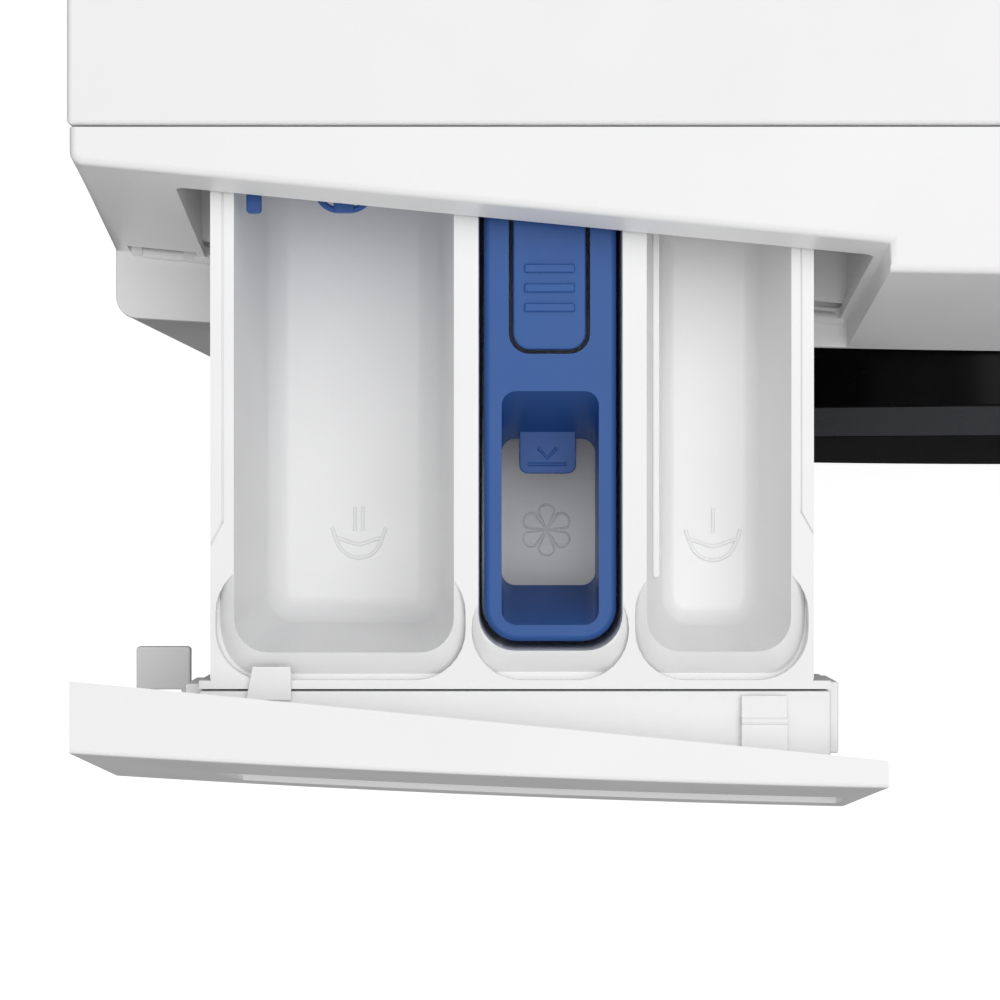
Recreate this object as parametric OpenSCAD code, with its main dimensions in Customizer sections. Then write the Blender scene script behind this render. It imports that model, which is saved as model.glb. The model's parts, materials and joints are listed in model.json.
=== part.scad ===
/* [Cabinet] */
// Width over the side panels
body_w = 600; // [597:1:603]
// Height from the floor to the worktop
body_h = 845; // [843:1:850]
// Depth from the crest of the front to the rear cover
body_d = 590; // [585:1:600]
// Thickness of the painted sheet panels
sheet_t = 1.5; // [1.2:0.1:1.8]
// Thickness of the worktop's side and rear skirt
skirt_w = 12; // [10:1:14]
// Radius of the foot pads
foot_r = 21; // [18:1:24]

/* [Fascia] */
// Height of the fascia
fascia_h = 98; // [97:0.5:99]
// How far the front bows forward at mid width
bow = 9.5; // [9:0.5:10]
// How far the fascia leans out from its top edge to its bottom edge
lean = 14.3; // [14:0.1:14.6]
// Wall thickness of the plastic mouldings
wall_t = 3; // [2.8:0.1:3.2]
// Radius of the program dial
dial_r = 24; // [20:1:26]
// Radius of the two push buttons
button_r = 9; // [7:1:10]

/* [Drawer] */
// Width of the drawer front
drawer_w = 200.9; // [199.9:0.5:201.4]
// How far the drawer stands open
drawer_out = 126; // [100:1:126]
// Length of the detergent tray
tray_l = 260; // [240:1:265]
// Height of the detergent tray
tray_h = 64; // [62:1:65]

/* [Door] */
// Radius of the door
door_r = 245; // [240:1:245]
// Height of the door's centre above the floor
door_z = 500; // [498:1:500]
// Radius of the porthole in the front panel
porthole_r = 168; // [166:1:169]

/* [Drum] */
// Outer radius of the drum
drum_r = 238; // [232:1:240]
// Length of the drum
drum_l = 300; // [290:1:302]
// Outer radius of the tub
tub_r = 257; // [256:1:258]
// Radius of the drum shaft
shaft_r = 12.5; // [12:0.5:13]

/* [Hidden] */

enamel_white = "#f1f2f2";
plastic_white = "#eceded";
plastic_grey = "#b9bcbd";
plastic_blue = "#3866b8";
gloss_black = "#0b0b0c";
rubber_grey = "#4a4c4e";
steel = "#b7babd";
cast_grey = "#8d9092";
concrete = "#a5a29c";
brass_yellow = "#b9934e";

$fn = 64;
big_fn = 720;      // for the front's very large radius
ring_fn = 180;     // for the door, drum and tub
eps = 0.01;
fit_gap = 0.05;    // running clearance of pins and shafts

half_w = body_w / 2;
side_x = half_w - 0.6;                 // half width of the plastic front
face_r = (half_w * half_w + bow * bow) / (2 * bow);
lean_a = atan(lean / fascia_h);
lip_a = 5.54;                          // the recess runs askew to the front
lip_y = 41.9;                          // depth of the recess at its left end
seam_d = 50.5;                         // depth of the fascia's top face
recess_r = drawer_w - half_w;          // right end of the drawer recess
ledge_h = wall_t;                      // height of the ledge under the drawer
front_gap = 0.6;                       // gap under the closed drawer front

function front_bow(x) = bow * pow(x / half_w, 2);

drawer_fy = drawer_out - front_bow(recess_r) - lean * (ledge_h + front_gap) / fascia_h;
fy = (drawer_fy - body_d) / 2;         // crest of the front
py = fy + bow;                         // outer face of the front panel
yb = fy + body_d;                      // outer face of the rear cover
cover_h = 14;                          // how far the rear cover stands out
yr = yb - cover_h;                     // outer face of the rear panel
zt = body_h;
zb = body_h - fascia_h;                // bottom edge of the fascia
seam_y = fy + seam_d;
base_z = 20;                           // underside of the base pan
skirt_h = 30;
top_z = zt - skirt_h;                  // top edge of the side panels
board_z = zt - 12;                     // underside of the worktop board

// detergent drawer, at its open place
open_l = -275;
open_r = -101.3;
rim_z = zt - 18;
tray_x = [-266.6, -116];
tray_fy = fy - 86;
tray_by = tray_fy + tray_l;
tray_z = rim_z - tray_h;
cup_fy = tray_fy + 7.3;
cup_by = tray_by - 3;
flange_y = tray_fy - 1.6;
insert_z = rim_z - 4;
tab_hinge_y = fy + 46;
flap_y = fy + 52;
housing_by = fy + 320;

// suspended unit
tub_fy = py + 70;
tub_by = py + 430;
tub_split = py + 240;
drum_fy = py + 96;
drum_by = drum_fy + drum_l;
pulley_y = py + 466;
drum_pulley_r = 135;
motor_pulley_r = 11;
motor_x = 20;
motor_z = 150;
sump_x = -85;
sump_y = py + 270;
pipe_x = 100;                          // where the drain pipe steps forward
pipe_y1 = py + 200;
spring_x = 255;
spring_y = fy + 345;
spring_top = 797;
spring_low = 640;
damper_x = 150;
damper_y = py + 250;

// door
hinge_x = -238;
hinge_y = py - 18;
ring_back = -2;                        // gap between the door and the panel
side_d = -23.6;                        // front edge of the door's side wall
face_d = -31.9;                        // front plane of the door
dome = 5;
handle_x = 214;                        // left edge of the handle
grip_x = handle_x + 2;                 // its pivot
grip_y = py + face_d + 1.95;
hook_x = 197;
hook_y = py - 8;

// drain filter
filter_x = 215;
filter_z = 82;
flap_z = 44;

function mid(a, b) = (a + b) / 2;
function arc(c, r, a0, a1, n) = [for (i = [0 : n]) c + r * [cos(a0 + (a1 - a0) * i / n), sin(a0 + (a1 - a0) * i / n)]];

// box between two opposite corners
module block(lo, hi) {
    translate(lo) cube(hi - lo);
}

// flat rectangle with round corners, centred
module round_rect(w, h, r) {
    square([w - 2 * r, h], center = true);
    square([w, h - 2 * r], center = true);
    for (x = [-1, 1], y = [-1, 1])
        translate([x * (w / 2 - r), y * (h / 2 - r)]) circle(r);
}

// upright block with round vertical edges, between two corners
module round_block(lo, hi, r) {
    translate([mid(lo[0], hi[0]), mid(lo[1], hi[1]), lo[2]])
        linear_extrude(hi[2] - lo[2]) round_rect(hi[0] - lo[0], hi[1] - lo[1], r);
}

// plate facing the front, with round corners
module front_plate(x, z, w, h, y0, y1, r) {
    translate([x, y1, z]) rotate([90, 0, 0]) linear_extrude(y1 - y0) round_rect(w, h, r);
}

// cylinder along Y
module rod_y(x, z, y0, y1, r) {
    translate([x, y0, z]) rotate([-90, 0, 0]) cylinder(h = y1 - y0, r = r);
}

// hollow cylinder along Y
module pipe_y(x, z, y0, y1, r_out, r_in) {
    difference() {
        rod_y(x, z, y0, y1, r_out);
        rod_y(x, z, y0 - 1, y1 + 1, r_in);
    }
}

// cylinder along X
module rod_x(y, z, x0, x1, r) {
    translate([x0, y, z]) rotate([0, 90, 0]) cylinder(h = x1 - x0, r = r);
}

// turned shape about the door's axis: each point is radius, depth behind the panel
module turned(points) {
    translate([0, py, door_z]) rotate([-90, 0, 0])
        rotate_extrude($fn = ring_fn) polygon(points);
}

// solid whose front is the bowed, leaning face, moved back
module face_solid(back) {
    translate([0, fy + back + face_r, zb])
        cylinder(h = fascia_h, r1 = face_r, r2 = face_r - lean, $fn = big_fn);
}

// everything behind the drawer recess's wall, moved back
module behind_lip(back) {
    translate([-half_w, fy + lip_y + back, zt])
        rotate([0, 0, -lip_a]) rotate([-lean_a, 0, 0])
            translate([-60, 0, -160]) cube([900, 500, 220]);
}

// places a shape on the face with its axis pointing out of it
module on_face(x, z) {
    translate([x, fy + front_bow(x) + lean * (z - zb) / fascia_h, z])
        rotate([90 - lean_a, 0, 0]) children();
}

// the drawer's parts are drawn closed and stand open
module drawn_out() {
    translate([0, -drawer_out, 0]) children();
}

// ---- cabinet

module side_panel(side) {
    color(enamel_white) mirror([side < 0 ? 1 : 0, 0, 0]) {
        x1 = half_w;
        x0 = half_w - sheet_t;
        y0 = py + 21;
        block([x0, y0, base_z], [x1, yr, zb - 0.4]);
        block([x0, seam_y + 0.6, zb - 1], [x1, yr, top_z]);
        block([x1 - 16, yr - sheet_t, base_z], [x1, yr, top_z]);
        block([x1 - 14, seam_y + 0.6, top_z - sheet_t], [x1, yr, top_z]);
        block([x1 - 18, y0, base_z], [x1, yr, base_z + sheet_t]);
    }
}

module left_side_panel() side_panel(-1);

module right_side_panel() side_panel(1);

module front_panel() {
    ret = 20;
    color(enamel_white) {
        difference() {
            translate([0, 0, base_z]) linear_extrude(zb - base_z) difference() {
                translate([0, py + 40]) round_rect(body_w, 80, 6);
                translate([0, py + 40]) round_rect(body_w - 2 * sheet_t, 80 - 2 * sheet_t, 6 - sheet_t);
                translate([-half_w - 1, py + ret]) square([body_w + 2, 100]);
            }
            rod_y(0, door_z, py - 1, py + 5, porthole_r);
            front_plate(filter_x, filter_z, 122, 80, py - 1, py + 3, 4);
            block([186, py - 1, door_z - 20], [208, py + 3, door_z + 20]);
        }
        turned([[porthole_r, 0], [porthole_r + sheet_t, 0],
                [porthole_r + sheet_t, 12], [porthole_r, 12]]);
        block([-half_w + 6, py + eps, zb - sheet_t], [half_w - 6, py + ret, zb]);
    }
}

transit_x = 420;
transit_z = 330;
valve_x = -210;
valve_z = zt - 60;
gland_x = 235;
gland_z = 770;

module rear_panel() {
    color(enamel_white) difference() {
        block([-half_w + 17, yr - sheet_t, base_z + 30], [half_w - 17, yr, top_z - 0.5]);
        front_plate(0, 470, 350, 440, yr - 3, yr + 1, 60);
        for (x = [-1, 1], z = [-1, 1])
            rod_y(x * transit_x / 2, 470 + z * transit_z / 2, yr - 3, yr + 1, 12);
        rod_y(valve_x, valve_z, yr - 3, yr + 1, 16);
        rod_y(gland_x, gland_z, yr - 3, yr + 1, 9.1);
        rod_y(-250, 90, yr - 3, yr + 1, 17);
    }
}

module rear_cover() {
    color(enamel_white) {
        difference() {
            front_plate(0, 470, 384, 474, yr + 0.2, yr + 0.2 + sheet_t, 70);
            front_plate(0, 470, 300, 390, yr, yr + 3, 50);
        }
        difference() {
            front_plate(0, 470, 304, 394, yr + 0.2, yb, 52);
            front_plate(0, 470, 304 - 2 * sheet_t, 394 - 2 * sheet_t, yr - 1, yb - sheet_t, 50);
        }
    }
}

foot_x = 262;
foot_y = [py + 46, yr - 40];

module at_feet() {
    for (x = [-1, 1], y = foot_y) translate([x * foot_x, y, 0]) children();
}

module base_pan() {
    color(plastic_grey) difference() {
        union() {
            difference() {
                round_block([-half_w + 2.5, py + 2.5, base_z + 2], [half_w - 2.5, yr - 2.5, base_z + 30], 8);
                round_block([-half_w + 5.5, py + 5.5, base_z + 5], [half_w - 5.5, yr - 5.5, base_z + 31], 6);
            }
            at_feet() translate([0, 0, base_z + 2]) cylinder(h = 24, r = 14);
            for (x = [-1, 1])
                translate([x * damper_x, damper_y, base_z + 4]) cylinder(h = 16, r = 20);
        }
        at_feet() translate([0, 0, base_z - 5]) cylinder(h = 40, r = 5 + fit_gap);
        block([filter_x - 62, py, base_z + 12], [filter_x + 62, py + 40, base_z + 60]);
        round_block([-90, py + 120, base_z - 5], [90, yr - 60, base_z + 10], 20);
    }
}

module top_braces() {
    color(steel) {
        difference() {
            block([-half_w + 2, spring_y - 18, top_z - 17], [half_w - 2, spring_y + 18, top_z - 2]);
            block([-half_w + 1, spring_y - 16.5, top_z - 20], [half_w - 1, spring_y + 16.5, top_z - 3.5]);
            for (x = [-1, 1])
                translate([x * spring_x, spring_y, top_z - 10]) cylinder(h = 20, r = 4);
        }
        difference() {
            block([-half_w + 8, py + 2, zb - 17], [half_w - 8, py + 24, zb - 2]);
            block([-half_w + 7, py + 3.5, zb - 20], [half_w - 7, py + 22.5, zb - 3.5]);
        }
    }
}

module worktop() {
    color(enamel_white) difference() {
        block([-half_w, seam_y + 0.5, top_z], [half_w, yr + 4, zt]);
        block([-half_w + skirt_w, seam_y - 1, top_z - 1], [half_w - skirt_w, yr + 4 - skirt_w, board_z]);
    }
}

// ---- fascia

dial_x = 60;
panel_z = zb + fascia_h / 2;
start_x = 262;
power_x = -46;
disp_x = [112, 222];
disp_z = [panel_z - 23, panel_z + 23];

module control_fascia() {
    color(plastic_white) difference() {
        intersection() {
            face_solid(0);
            block([-side_x, fy - 1, zb], [side_x, seam_y, zt]);
        }
        intersection() {
            face_solid(wall_t);
            block([recess_r + wall_t, fy, zb + wall_t], [side_x - wall_t, seam_y + 1, zt - wall_t]);
        }
        intersection() {
            behind_lip(wall_t);
            block([-side_x + wall_t, fy, zb + wall_t], [recess_r + wall_t + eps, seam_y + 1, zt - wall_t]);
        }
        difference() {
            block([-side_x - 1, fy - 5, zb + ledge_h], [recess_r, seam_y, zt + 1]);
            behind_lip(0);
        }
        block([open_l, fy, zt - 85], [open_r, seam_y + 1, zt - 15]);
        block([-295.5, fy + 5, zt - 94.5], [-277.4, fy + 45, zt - 80]);
        on_face(dial_x, panel_z) translate([0, 0, -6]) cylinder(h = 12, r = 3 + fit_gap);
        on_face(start_x, panel_z) translate([0, 0, -6]) cylinder(h = 12, r = button_r + 0.2);
        on_face(power_x, panel_z) translate([0, 0, -6]) cylinder(h = 12, r = button_r + 0.2);
        intersection() {
            difference() {
                face_solid(-1);
                face_solid(2.1);
            }
            block([disp_x[0] - 0.2, fy - 2, disp_z[0] - 0.2], [disp_x[1] + 0.2, fy + 40, disp_z[1] + 0.2]);
        }
        block([disp_x[0] + 4, fy - 2, disp_z[0] + 4], [disp_x[1] - 4, fy + 30, disp_z[1] - 4]);
    }
}

module display_window() {
    color(gloss_black) intersection() {
        difference() {
            face_solid(0.1);
            face_solid(2);
        }
        block([disp_x[0], fy - 2, disp_z[0]], [disp_x[1], fy + 40, disp_z[1]]);
    }
}

module control_board() {
    color("#2c6b48") {
        block([-80, fy + 34, zb + 12], [286, fy + 35.6, zt - 14]);
        block([disp_x[0] + 6, fy + 28, disp_z[0] + 6], [disp_x[1] - 6, fy + 34, disp_z[1] - 6]);
        block([-10, fy + 35.6, zb + 20], [40, fy + 46, zb + 44]);
        translate([dial_x, fy + 26, panel_z]) rotate([-90, 0, 0]) cylinder(h = 8.5, r = 7);
    }
}

module program_dial() {
    color(plastic_white) on_face(dial_x, panel_z) {
        translate([0, 0, 1]) cylinder(h = 5, r = dial_r);
        translate([0, 0, 6]) cylinder(h = 12, r1 = dial_r - 2, r2 = dial_r - 4);
        translate([0, 0, -12]) cylinder(h = 14, r = 3);
    }
}

module push_button(x) {
    color(plastic_grey) on_face(x, panel_z) {
        translate([0, 0, -5]) cylinder(h = 6.5, r = button_r);
        translate([0, 0, -6.5]) cylinder(h = 2, r = button_r + 1.6);
    }
}

module start_button() push_button(start_x);

module power_button() push_button(power_x);

// ---- detergent drawer

module drawer_housing() {
    x0 = open_l - 2.2;
    x1 = open_r + 3.2;
    z0 = zt - 88;
    z1 = board_z - 1;
    w = 2;
    color(plastic_white) intersection() {
        union() {
            difference() {
                block([x0, fy, z0], [x1, housing_by, z1]);
                block([x0 + w, fy - 1, z0 + w], [x1 - w, housing_by - w, z1 - w]);
                translate([-190, fy + 280, z0 - 1]) cylinder(h = 5, r = 18);
            }
            translate([-190, fy + 280, z0 - 24]) difference() {
                cylinder(h = 24.5, r = 20);
                translate([0, 0, -1]) cylinder(h = 27, r = 18);
            }
            difference() {
                rod_y(valve_x, zt - 60, housing_by - 1, housing_by + 16, 8);
                rod_y(valve_x, zt - 60, housing_by - 3, housing_by + 17, 6);
            }
            for (x = [x0 + 12, x1 - 14])
                block([x, fy + 60, z0 + 1], [x + 2, housing_by - 1, tray_z - 0.5]);
        }
        behind_lip(wall_t + 0.3);
    }
}

module drawer_tray() {
    color(plastic_white) difference() {
        union() {
            block([tray_x[0], tray_fy, tray_z], [tray_x[1], tray_by, rim_z]);
            block([-269.4, flange_y, rim_z - 30], [-111.8, tray_fy + eps, rim_z]);
        }
        round_block([-260.7, cup_fy, tray_z + 3], [-205.8, cup_by, rim_z + 1], 9);
        round_block([-199.7, cup_fy + 2, tray_z + 3], [-163.7, cup_by, rim_z + 1], 9);
        round_block([-157.7, cup_fy, tray_z + 26], [-121.6, cup_by, rim_z + 1], 9);
        round_block([-157.7, cup_fy, tray_z - 1], [-121.6, cup_by, tray_z + 23], 9);
    }
}

// block square to the middle of the drawer's face: x along it, y into it, z up it
module grip_cut(lo, hi) {
    xm = -180;
    translate([0, fy + front_bow(xm) + lean / 2, panel_z])
        multmatrix([[1, 0, 0, 0],
                    [2 * bow * xm / (half_w * half_w), 1, lean / fascia_h, -xm * 2 * bow * xm / (half_w * half_w)],
                    [0, 0, 1, 0]])
            block(lo, hi);
}

module drawer_front() {
    z0 = zb + ledge_h + front_gap;
    color(plastic_white) drawn_out() difference() {
        union() {
            difference() {
                intersection() {
                    face_solid(0);
                    block([-side_x + 0.1, fy - 1, z0], [recess_r - 0.4, fy + 60, zt]);
                }
                behind_lip(-0.4);
            }
            intersection() {
                behind_lip(-0.5);
                block([-269.4, fy, zt - 80], [-111.8, flange_y + drawer_out - 0.4, rim_z - 0.3]);
            }
            block([-257, fy + 30, rim_z + 0.4], [-246.3, fy + 44.6, rim_z + 2.4]);
            block([-134.2, fy + 12, rim_z - 1], [-122.7, fy + 37.3, rim_z + 2.4]);
            block([-292.5, fy + 26, zt - 92.5], [-278.2, fy + 45.7, zt - 81.5]);
        }
        // grip groove along the lower half of the face
        grip_cut([-264, -2, -30], [-113.5, 11, 7.5]);
        grip_cut([-114, -2, -30], [recess_r + 1, 4, 7.5]);
    }
}

module softener_insert() {
    x0 = -198.3;
    x1 = -165;
    y0 = tray_fy + 10;
    y1 = fy + 70;
    color(plastic_blue) {
        difference() {
            round_block([x0, y0, insert_z - 40], [x1, y1, insert_z], 7);
            round_block([x0 + 2, y0 + 2, insert_z - 41], [x1 - 2, y1 - 2, insert_z - 2], 5);
            round_block([x0 + 4.4, y0 + 4.2, insert_z - 5], [x1 - 4.4, fy - 13.1, insert_z + 1], 3.5);
            round_block([-192, fy - 3.8, insert_z - 5], [-171.6, tab_hinge_y + 4, insert_z + 1], 4.8);
        }
        difference() {
            round_block([x0 + 2.4, y0 + 2.2, insert_z - 30], [x1 - 2.4, fy - 11.1, insert_z - 0.1], 5.5);
            round_block([x0 + 4.4, y0 + 4.2, insert_z - 31], [x1 - 4.4, fy - 13.1, insert_z + 1], 3.5);
        }
        for (x = [-192, -171.6])
            block([x - (x < -180 ? 2.5 : 0), tab_hinge_y - 3, insert_z - 6],
                  [x + (x < -180 ? 0 : 2.5), tab_hinge_y + 3, insert_z - 1]);
        translate([-181.7, fy + 56, tray_z + 5]) cylinder(h = insert_z - tray_z - 6, r = 5);
    }
}

module release_tab() {
    color(plastic_blue) {
        round_block([-190.9, fy - 2.7, insert_z - 2.5], [-172.7, tab_hinge_y + 2, insert_z + 0.4], 4.4);
        rod_x(tab_hinge_y, insert_z - 2.5, -191.4, -172.2, 1.5);
        for (y = [fy + 6.6, fy + 11.6, fy + 16.5])
            block([-188, y, insert_z + 0.3], [-175.4, y + 2.2, insert_z + 1]);
    }
}

module liquid_flap() {
    color(plastic_blue) {
        difference() {
            block([-259.6, flap_y - 1.2, tray_z + 8], [-207, flap_y + 1.2, rim_z - 4]);
            block([-250, flap_y - 2, tray_z + 7], [-216, flap_y + 2, tray_z + 16]);
        }
        rod_x(flap_y, rim_z - 5, -260.4, -206.1, 2);
        difference() {
            round_block([-241.2, flap_y - 20.5, rim_z - 6], [-225.6, flap_y, rim_z - 3.5], 6);
            round_block([-238.6, flap_y - 17.9, rim_z - 7], [-228.2, flap_y - 4, rim_z - 3], 4);
        }
        block([-258, flap_y - 20.5, rim_z - 7], [-254.2, flap_y, rim_z - 4.5]);
    }
}

// ---- water inlet and mains

module water_valve() {
    color(plastic_white) {
        difference() {
            rod_y(valve_x, valve_z, yr - 12, yr + 12, 13.2);
            rod_y(valve_x, valve_z, yr - 2, yr + 13, 9);
        }
        rod_y(valve_x, valve_z, yr - 15, yr - sheet_t - 0.3, 19);
        block([valve_x - 16, yr - 42, valve_z - 14], [valve_x + 16, yr - 15, valve_z + 14]);
        rod_y(valve_x, valve_z, yr - 62, yr - 42, 8);
        translate([valve_x, yr - 28, valve_z + 14]) cylinder(h = 22, r = 11);
    }
}

module fill_hose() {
    color(rubber_grey) pipe_y(valve_x, valve_z, housing_by + 2, yr - 43, 12, 8.1);
}

module mains_gland() {
    color(gloss_black) difference() {
        union() {
            rod_y(gland_x, gland_z, yr - 10, yr + 2, 9);
            rod_y(gland_x, gland_z, yr + 0.1, yr + 5, 13);
            rod_y(gland_x, gland_z, yr - 10, yr - sheet_t - 0.3, 12);
        }
        rod_y(gland_x, gland_z, yr - 12, yr + 12, 4.2);
    }
}

// ---- door lock and hinge

module door_lock() {
    color(plastic_grey) difference() {
        block([181, py + 3, door_z - 34], [232, py + 29.5, door_z + 34]);
        block([184, py + 2, door_z - 14], [212, py + 27, door_z + 14]);
    }
}

module hinge_bracket() {
    color(steel) difference() {
        union() {
            block([hinge_x - 8, py - 2.6, door_z - 41], [hinge_x + 6.5, py - 0.1, door_z + 41]);
            for (z = [-1, 1]) translate([0, 0, door_z + z * 35]) {
                translate([hinge_x, hinge_y, -6]) cylinder(h = 12, r = 5.5);
                block([hinge_x - 3, hinge_y, -6], [hinge_x + 3, py - 0.1, 6]);
            }
        }
        translate([hinge_x, hinge_y, door_z - 50]) cylinder(h = 100, r = 3);
    }
}

module hinge_pin() {
    color(steel) translate([hinge_x, hinge_y, door_z - 42]) {
        cylinder(h = 84, r = 3);
        translate([0, 0, 83.9]) cylinder(h = 1.6, r = 4.6);
    }
}

module hinge_relief() {
    translate([0, 0, door_z - 44]) {
        translate([hinge_x, hinge_y, 0]) cylinder(h = 88, r = 8);
        block([hinge_x - 20, hinge_y - 8, 0], [hinge_x + 8, py + 5, 88]);
    }
}

module hinge_arm() {
    color(steel) difference() {
        union() {
            translate([hinge_x, hinge_y, door_z - 28]) cylinder(h = 56, r = 5.5);
            block([hinge_x, hinge_y - 2, door_z - 28], [hinge_x + 30, hinge_y + 2, door_z + 28]);
            block([hinge_x + 27, hinge_y - 2, door_z - 60], [hinge_x + 42, hinge_y + 2, door_z + 60]);
        }
        translate([hinge_x, hinge_y, door_z - 60]) cylinder(h = 120, r = 3 + fit_gap);
    }
}

// ---- door

module handle_zone(grow) {
    block([handle_x - grow, py - 60, door_z - 48 - grow], [handle_x + 60, py + 5, door_z + 48 + grow]);
}

module door_ring() {
    color(gloss_black) difference() {
        turned([[door_r, ring_back], [door_r, side_d], [door_r - 12, face_d], [door_r - 17, face_d],
                [door_r - 17, face_d + 4], [door_r - 34, face_d + 4], [door_r - 34, face_d + 7],
                [door_r - 14, face_d + 7], [door_r - 4, side_d + 2], [door_r - 4, ring_back]]);
        hinge_relief();
        handle_zone(0.8);
    }
}

module door_window() {
    r = door_r - 17.4;
    n = 8;
    front = [for (i = [0 : n]) [r * (1 - i / n), face_d - dome * (1 - pow(1 - i / n, 2))]];
    back = [for (i = [n : -1 : 0]) [r * (1 - i / n), face_d + 3.6 - dome * (1 - pow(1 - i / n, 2))]];
    color("#101214") difference() {
        turned(concat(front, back));
        handle_zone(0.8);
    }
}

module door_frame() {
    color(plastic_grey) difference() {
        turned([[176, -22], [176, -3], [238, -3], [238, -6], [200, -6], [200, -18], [208, -18], [208, -22]]);
        translate([0, -0.5, 0]) hinge_relief();
        block([hinge_x - 1, hinge_y - 2.4, door_z - 61], [hinge_x + 43, hinge_y + 2.4, door_z + 61]);
        block([hook_x - 14, py - 20, door_z - 20], [hook_x + 60, py + 5, door_z + 20]);
        handle_zone(1);
    }
}

module glass_bowl() {
    color("#9fb0b8", 0.5) turned([
        [174, -9], [174, -4], [150, -4], [146, 2], [128, 84], [116, 92], [0, 96],
        [0, 91], [113.5, 87], [123.5, 80], [141, 0], [146, -9]
    ]);
}

module door_handle() {
    color(gloss_black) {
        intersection() {
            turned([[door_r - 0.4, side_d + 6], [door_r - 0.4, side_d - 0.3], [door_r - 12.4, face_d - 0.1],
                    [150, face_d - 0.1], [150, face_d + 4], [door_r - 14, face_d + 4],
                    [door_r - 4.4, side_d + 2], [door_r - 4.4, side_d + 6]]);
            block([handle_x, py - 60, door_z - 46.5], [handle_x + 60, py + 5, door_z + 46.5]);
        }
        translate([grip_x, grip_y, door_z - 48.3]) cylinder(h = 96.6, r = 1.9);
    }
}

module door_hook() {
    color(steel) {
        translate([hook_x, hook_y, door_z - 10]) cylinder(h = 20, r = 4);
        block([hook_x - 3, hook_y, door_z - 8], [hook_x + 3, py + 20, door_z + 8]);
        block([hook_x - 3, py + 15, door_z - 8], [hook_x + 9, py + 20, door_z + 8]);
    }
}

module door_gasket() {
    color(rubber_grey) turned([
        [163.5, -1], [166, -1.5], [167.6, 1], [167.6, 14], [160, 16], [157, 22], [163, 28], [176, 30],
        [178, 36], [162, 40], [160, 50], [166, 54], [172, 60], [172, 69.7], [168, 69.7],
        [168, 60], [158, 55], [155, 46], [156, 38], [168, 33], [158, 30], [152, 22], [152, 14], [160, 10]
    ]);
}

// ---- tub, drum and drive

module tub_front() {
    y0 = tub_fy - py;
    y1 = tub_split - py;
    color(plastic_white) turned([
        [170, y0], [tub_r - 8, y0], [tub_r, y0 + 8], [tub_r, y1 - 8], [tub_r + 8, y1 - 8], [tub_r + 8, y1],
        [tub_r - 3, y1], [tub_r - 3, y0 + 10], [tub_r - 10, y0 + 3], [173, y0 + 3], [173, y0 + 12], [170, y0 + 12]
    ]);
}

module tub_rear() {
    y0 = tub_split - py + 0.2;
    y1 = tub_by - py;
    color(plastic_white) difference() {
        union() {
            turned([
                [tub_r - 3, y0], [tub_r + 8, y0], [tub_r + 8, y0 + 8], [tub_r, y0 + 8], [tub_r, y1 - 10],
                [tub_r - 10, y1], [56, y1], [56, y1 + 16], [31, y1 + 16], [31, y1 - 18], [42, y1 - 18],
                [50, y1 - 5], [tub_r - 12, y1 - 5], [tub_r - 3, y1 - 14]
            ]);
            for (x = [-1, 1]) {
                block([min(x * 222, x * (spring_x + 8)), spring_y - 6, door_z + 90],
                      [max(x * 222, x * (spring_x + 8)), spring_y + 6, spring_low - 2.4]);
                block([x * damper_x - 14, damper_y - 5, door_z - 235], [x * damper_x + 14, damper_y + 5, door_z - 195]);
            }
            for (x = [-1, 1])
                block([motor_x + x * 40 - 5, tub_by - 130, motor_z + 44],
                      [motor_x + x * 40 + 5, tub_by - 30, door_z - 246]);
            translate([sump_x, sump_y, door_z - 280]) cylinder(h = 44, r = 24);
            translate([-190, fy + 280, door_z + 140]) cylinder(h = 76, r = 20);
        }
        turned([[0, y0 - 1], [tub_r - 3, y0 - 1], [tub_r - 3, y1 - 14], [tub_r - 12, y1 - 5], [50, y1 - 5], [0, y1 - 5]]);
        translate([sump_x, sump_y, door_z - 281]) cylinder(h = 60, r = 21);
        translate([-190, fy + 280, door_z + 120]) cylinder(h = 120, r = 17.5);
        rod_y(60, door_z - 238, y1 + py - 30, y1 + py + 20, 12.2);
        for (x = [-1, 1])
            rod_x(spring_y, spring_low - 9, x * spring_x - 10, x * spring_x + 10, 3);
    }
}

module front_counterweight() {
    color(concrete) difference() {
        turned([[188, 30], [235, 30], [235, 69.5], [188, 69.5]]);
        block([-80, py, door_z - 260], [80, py + 80, door_z - 150]);
        block([filter_x - 75, py, 0], [filter_x + 70, py + 80, 280]);
    }
}

module top_counterweight() {
    color(concrete) difference() {
        block([-60, tub_split + 20, door_z + 190], [190, tub_split + 85, door_z + 284]);
        rod_y(0, door_z, tub_split, tub_split + 100, tub_r + 0.4);
    }
}

module drive_motor() {
    color(cast_grey) {
        difference() {
            rod_y(motor_x, motor_z, tub_by - 140, tub_by - 15, 54);
            rod_y(motor_x, motor_z, tub_by - 40, tub_by, 6 + fit_gap);
        }
        rod_y(motor_x, motor_z, tub_by - 150, tub_by - 140 + eps, 30);
        for (x = [-1, 1])
            block([motor_x + min(x * 29, x * 34.8), tub_by - 128, motor_z + 36],
                  [motor_x + max(x * 29, x * 34.8), tub_by - 32, motor_z + 68]);
    }
}

module drum_bearings() {
    color(steel) for (y = [tub_by - 16, tub_by + 1])
        pipe_y(0, door_z, y, y + 13, 30.9, shaft_r + fit_gap);
}

module wash_heater() {
    color(steel) {
        rod_y(60, door_z - 238, tub_by - 12, tub_by + 10, 12);
        for (x = [-1, 1])
            rod_y(60 + x * 7, door_z - 241, tub_by - 180, tub_by - 11, 3);
        rod_x(tub_by - 180, door_z - 241, 53, 67, 3);
    }
}

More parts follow.
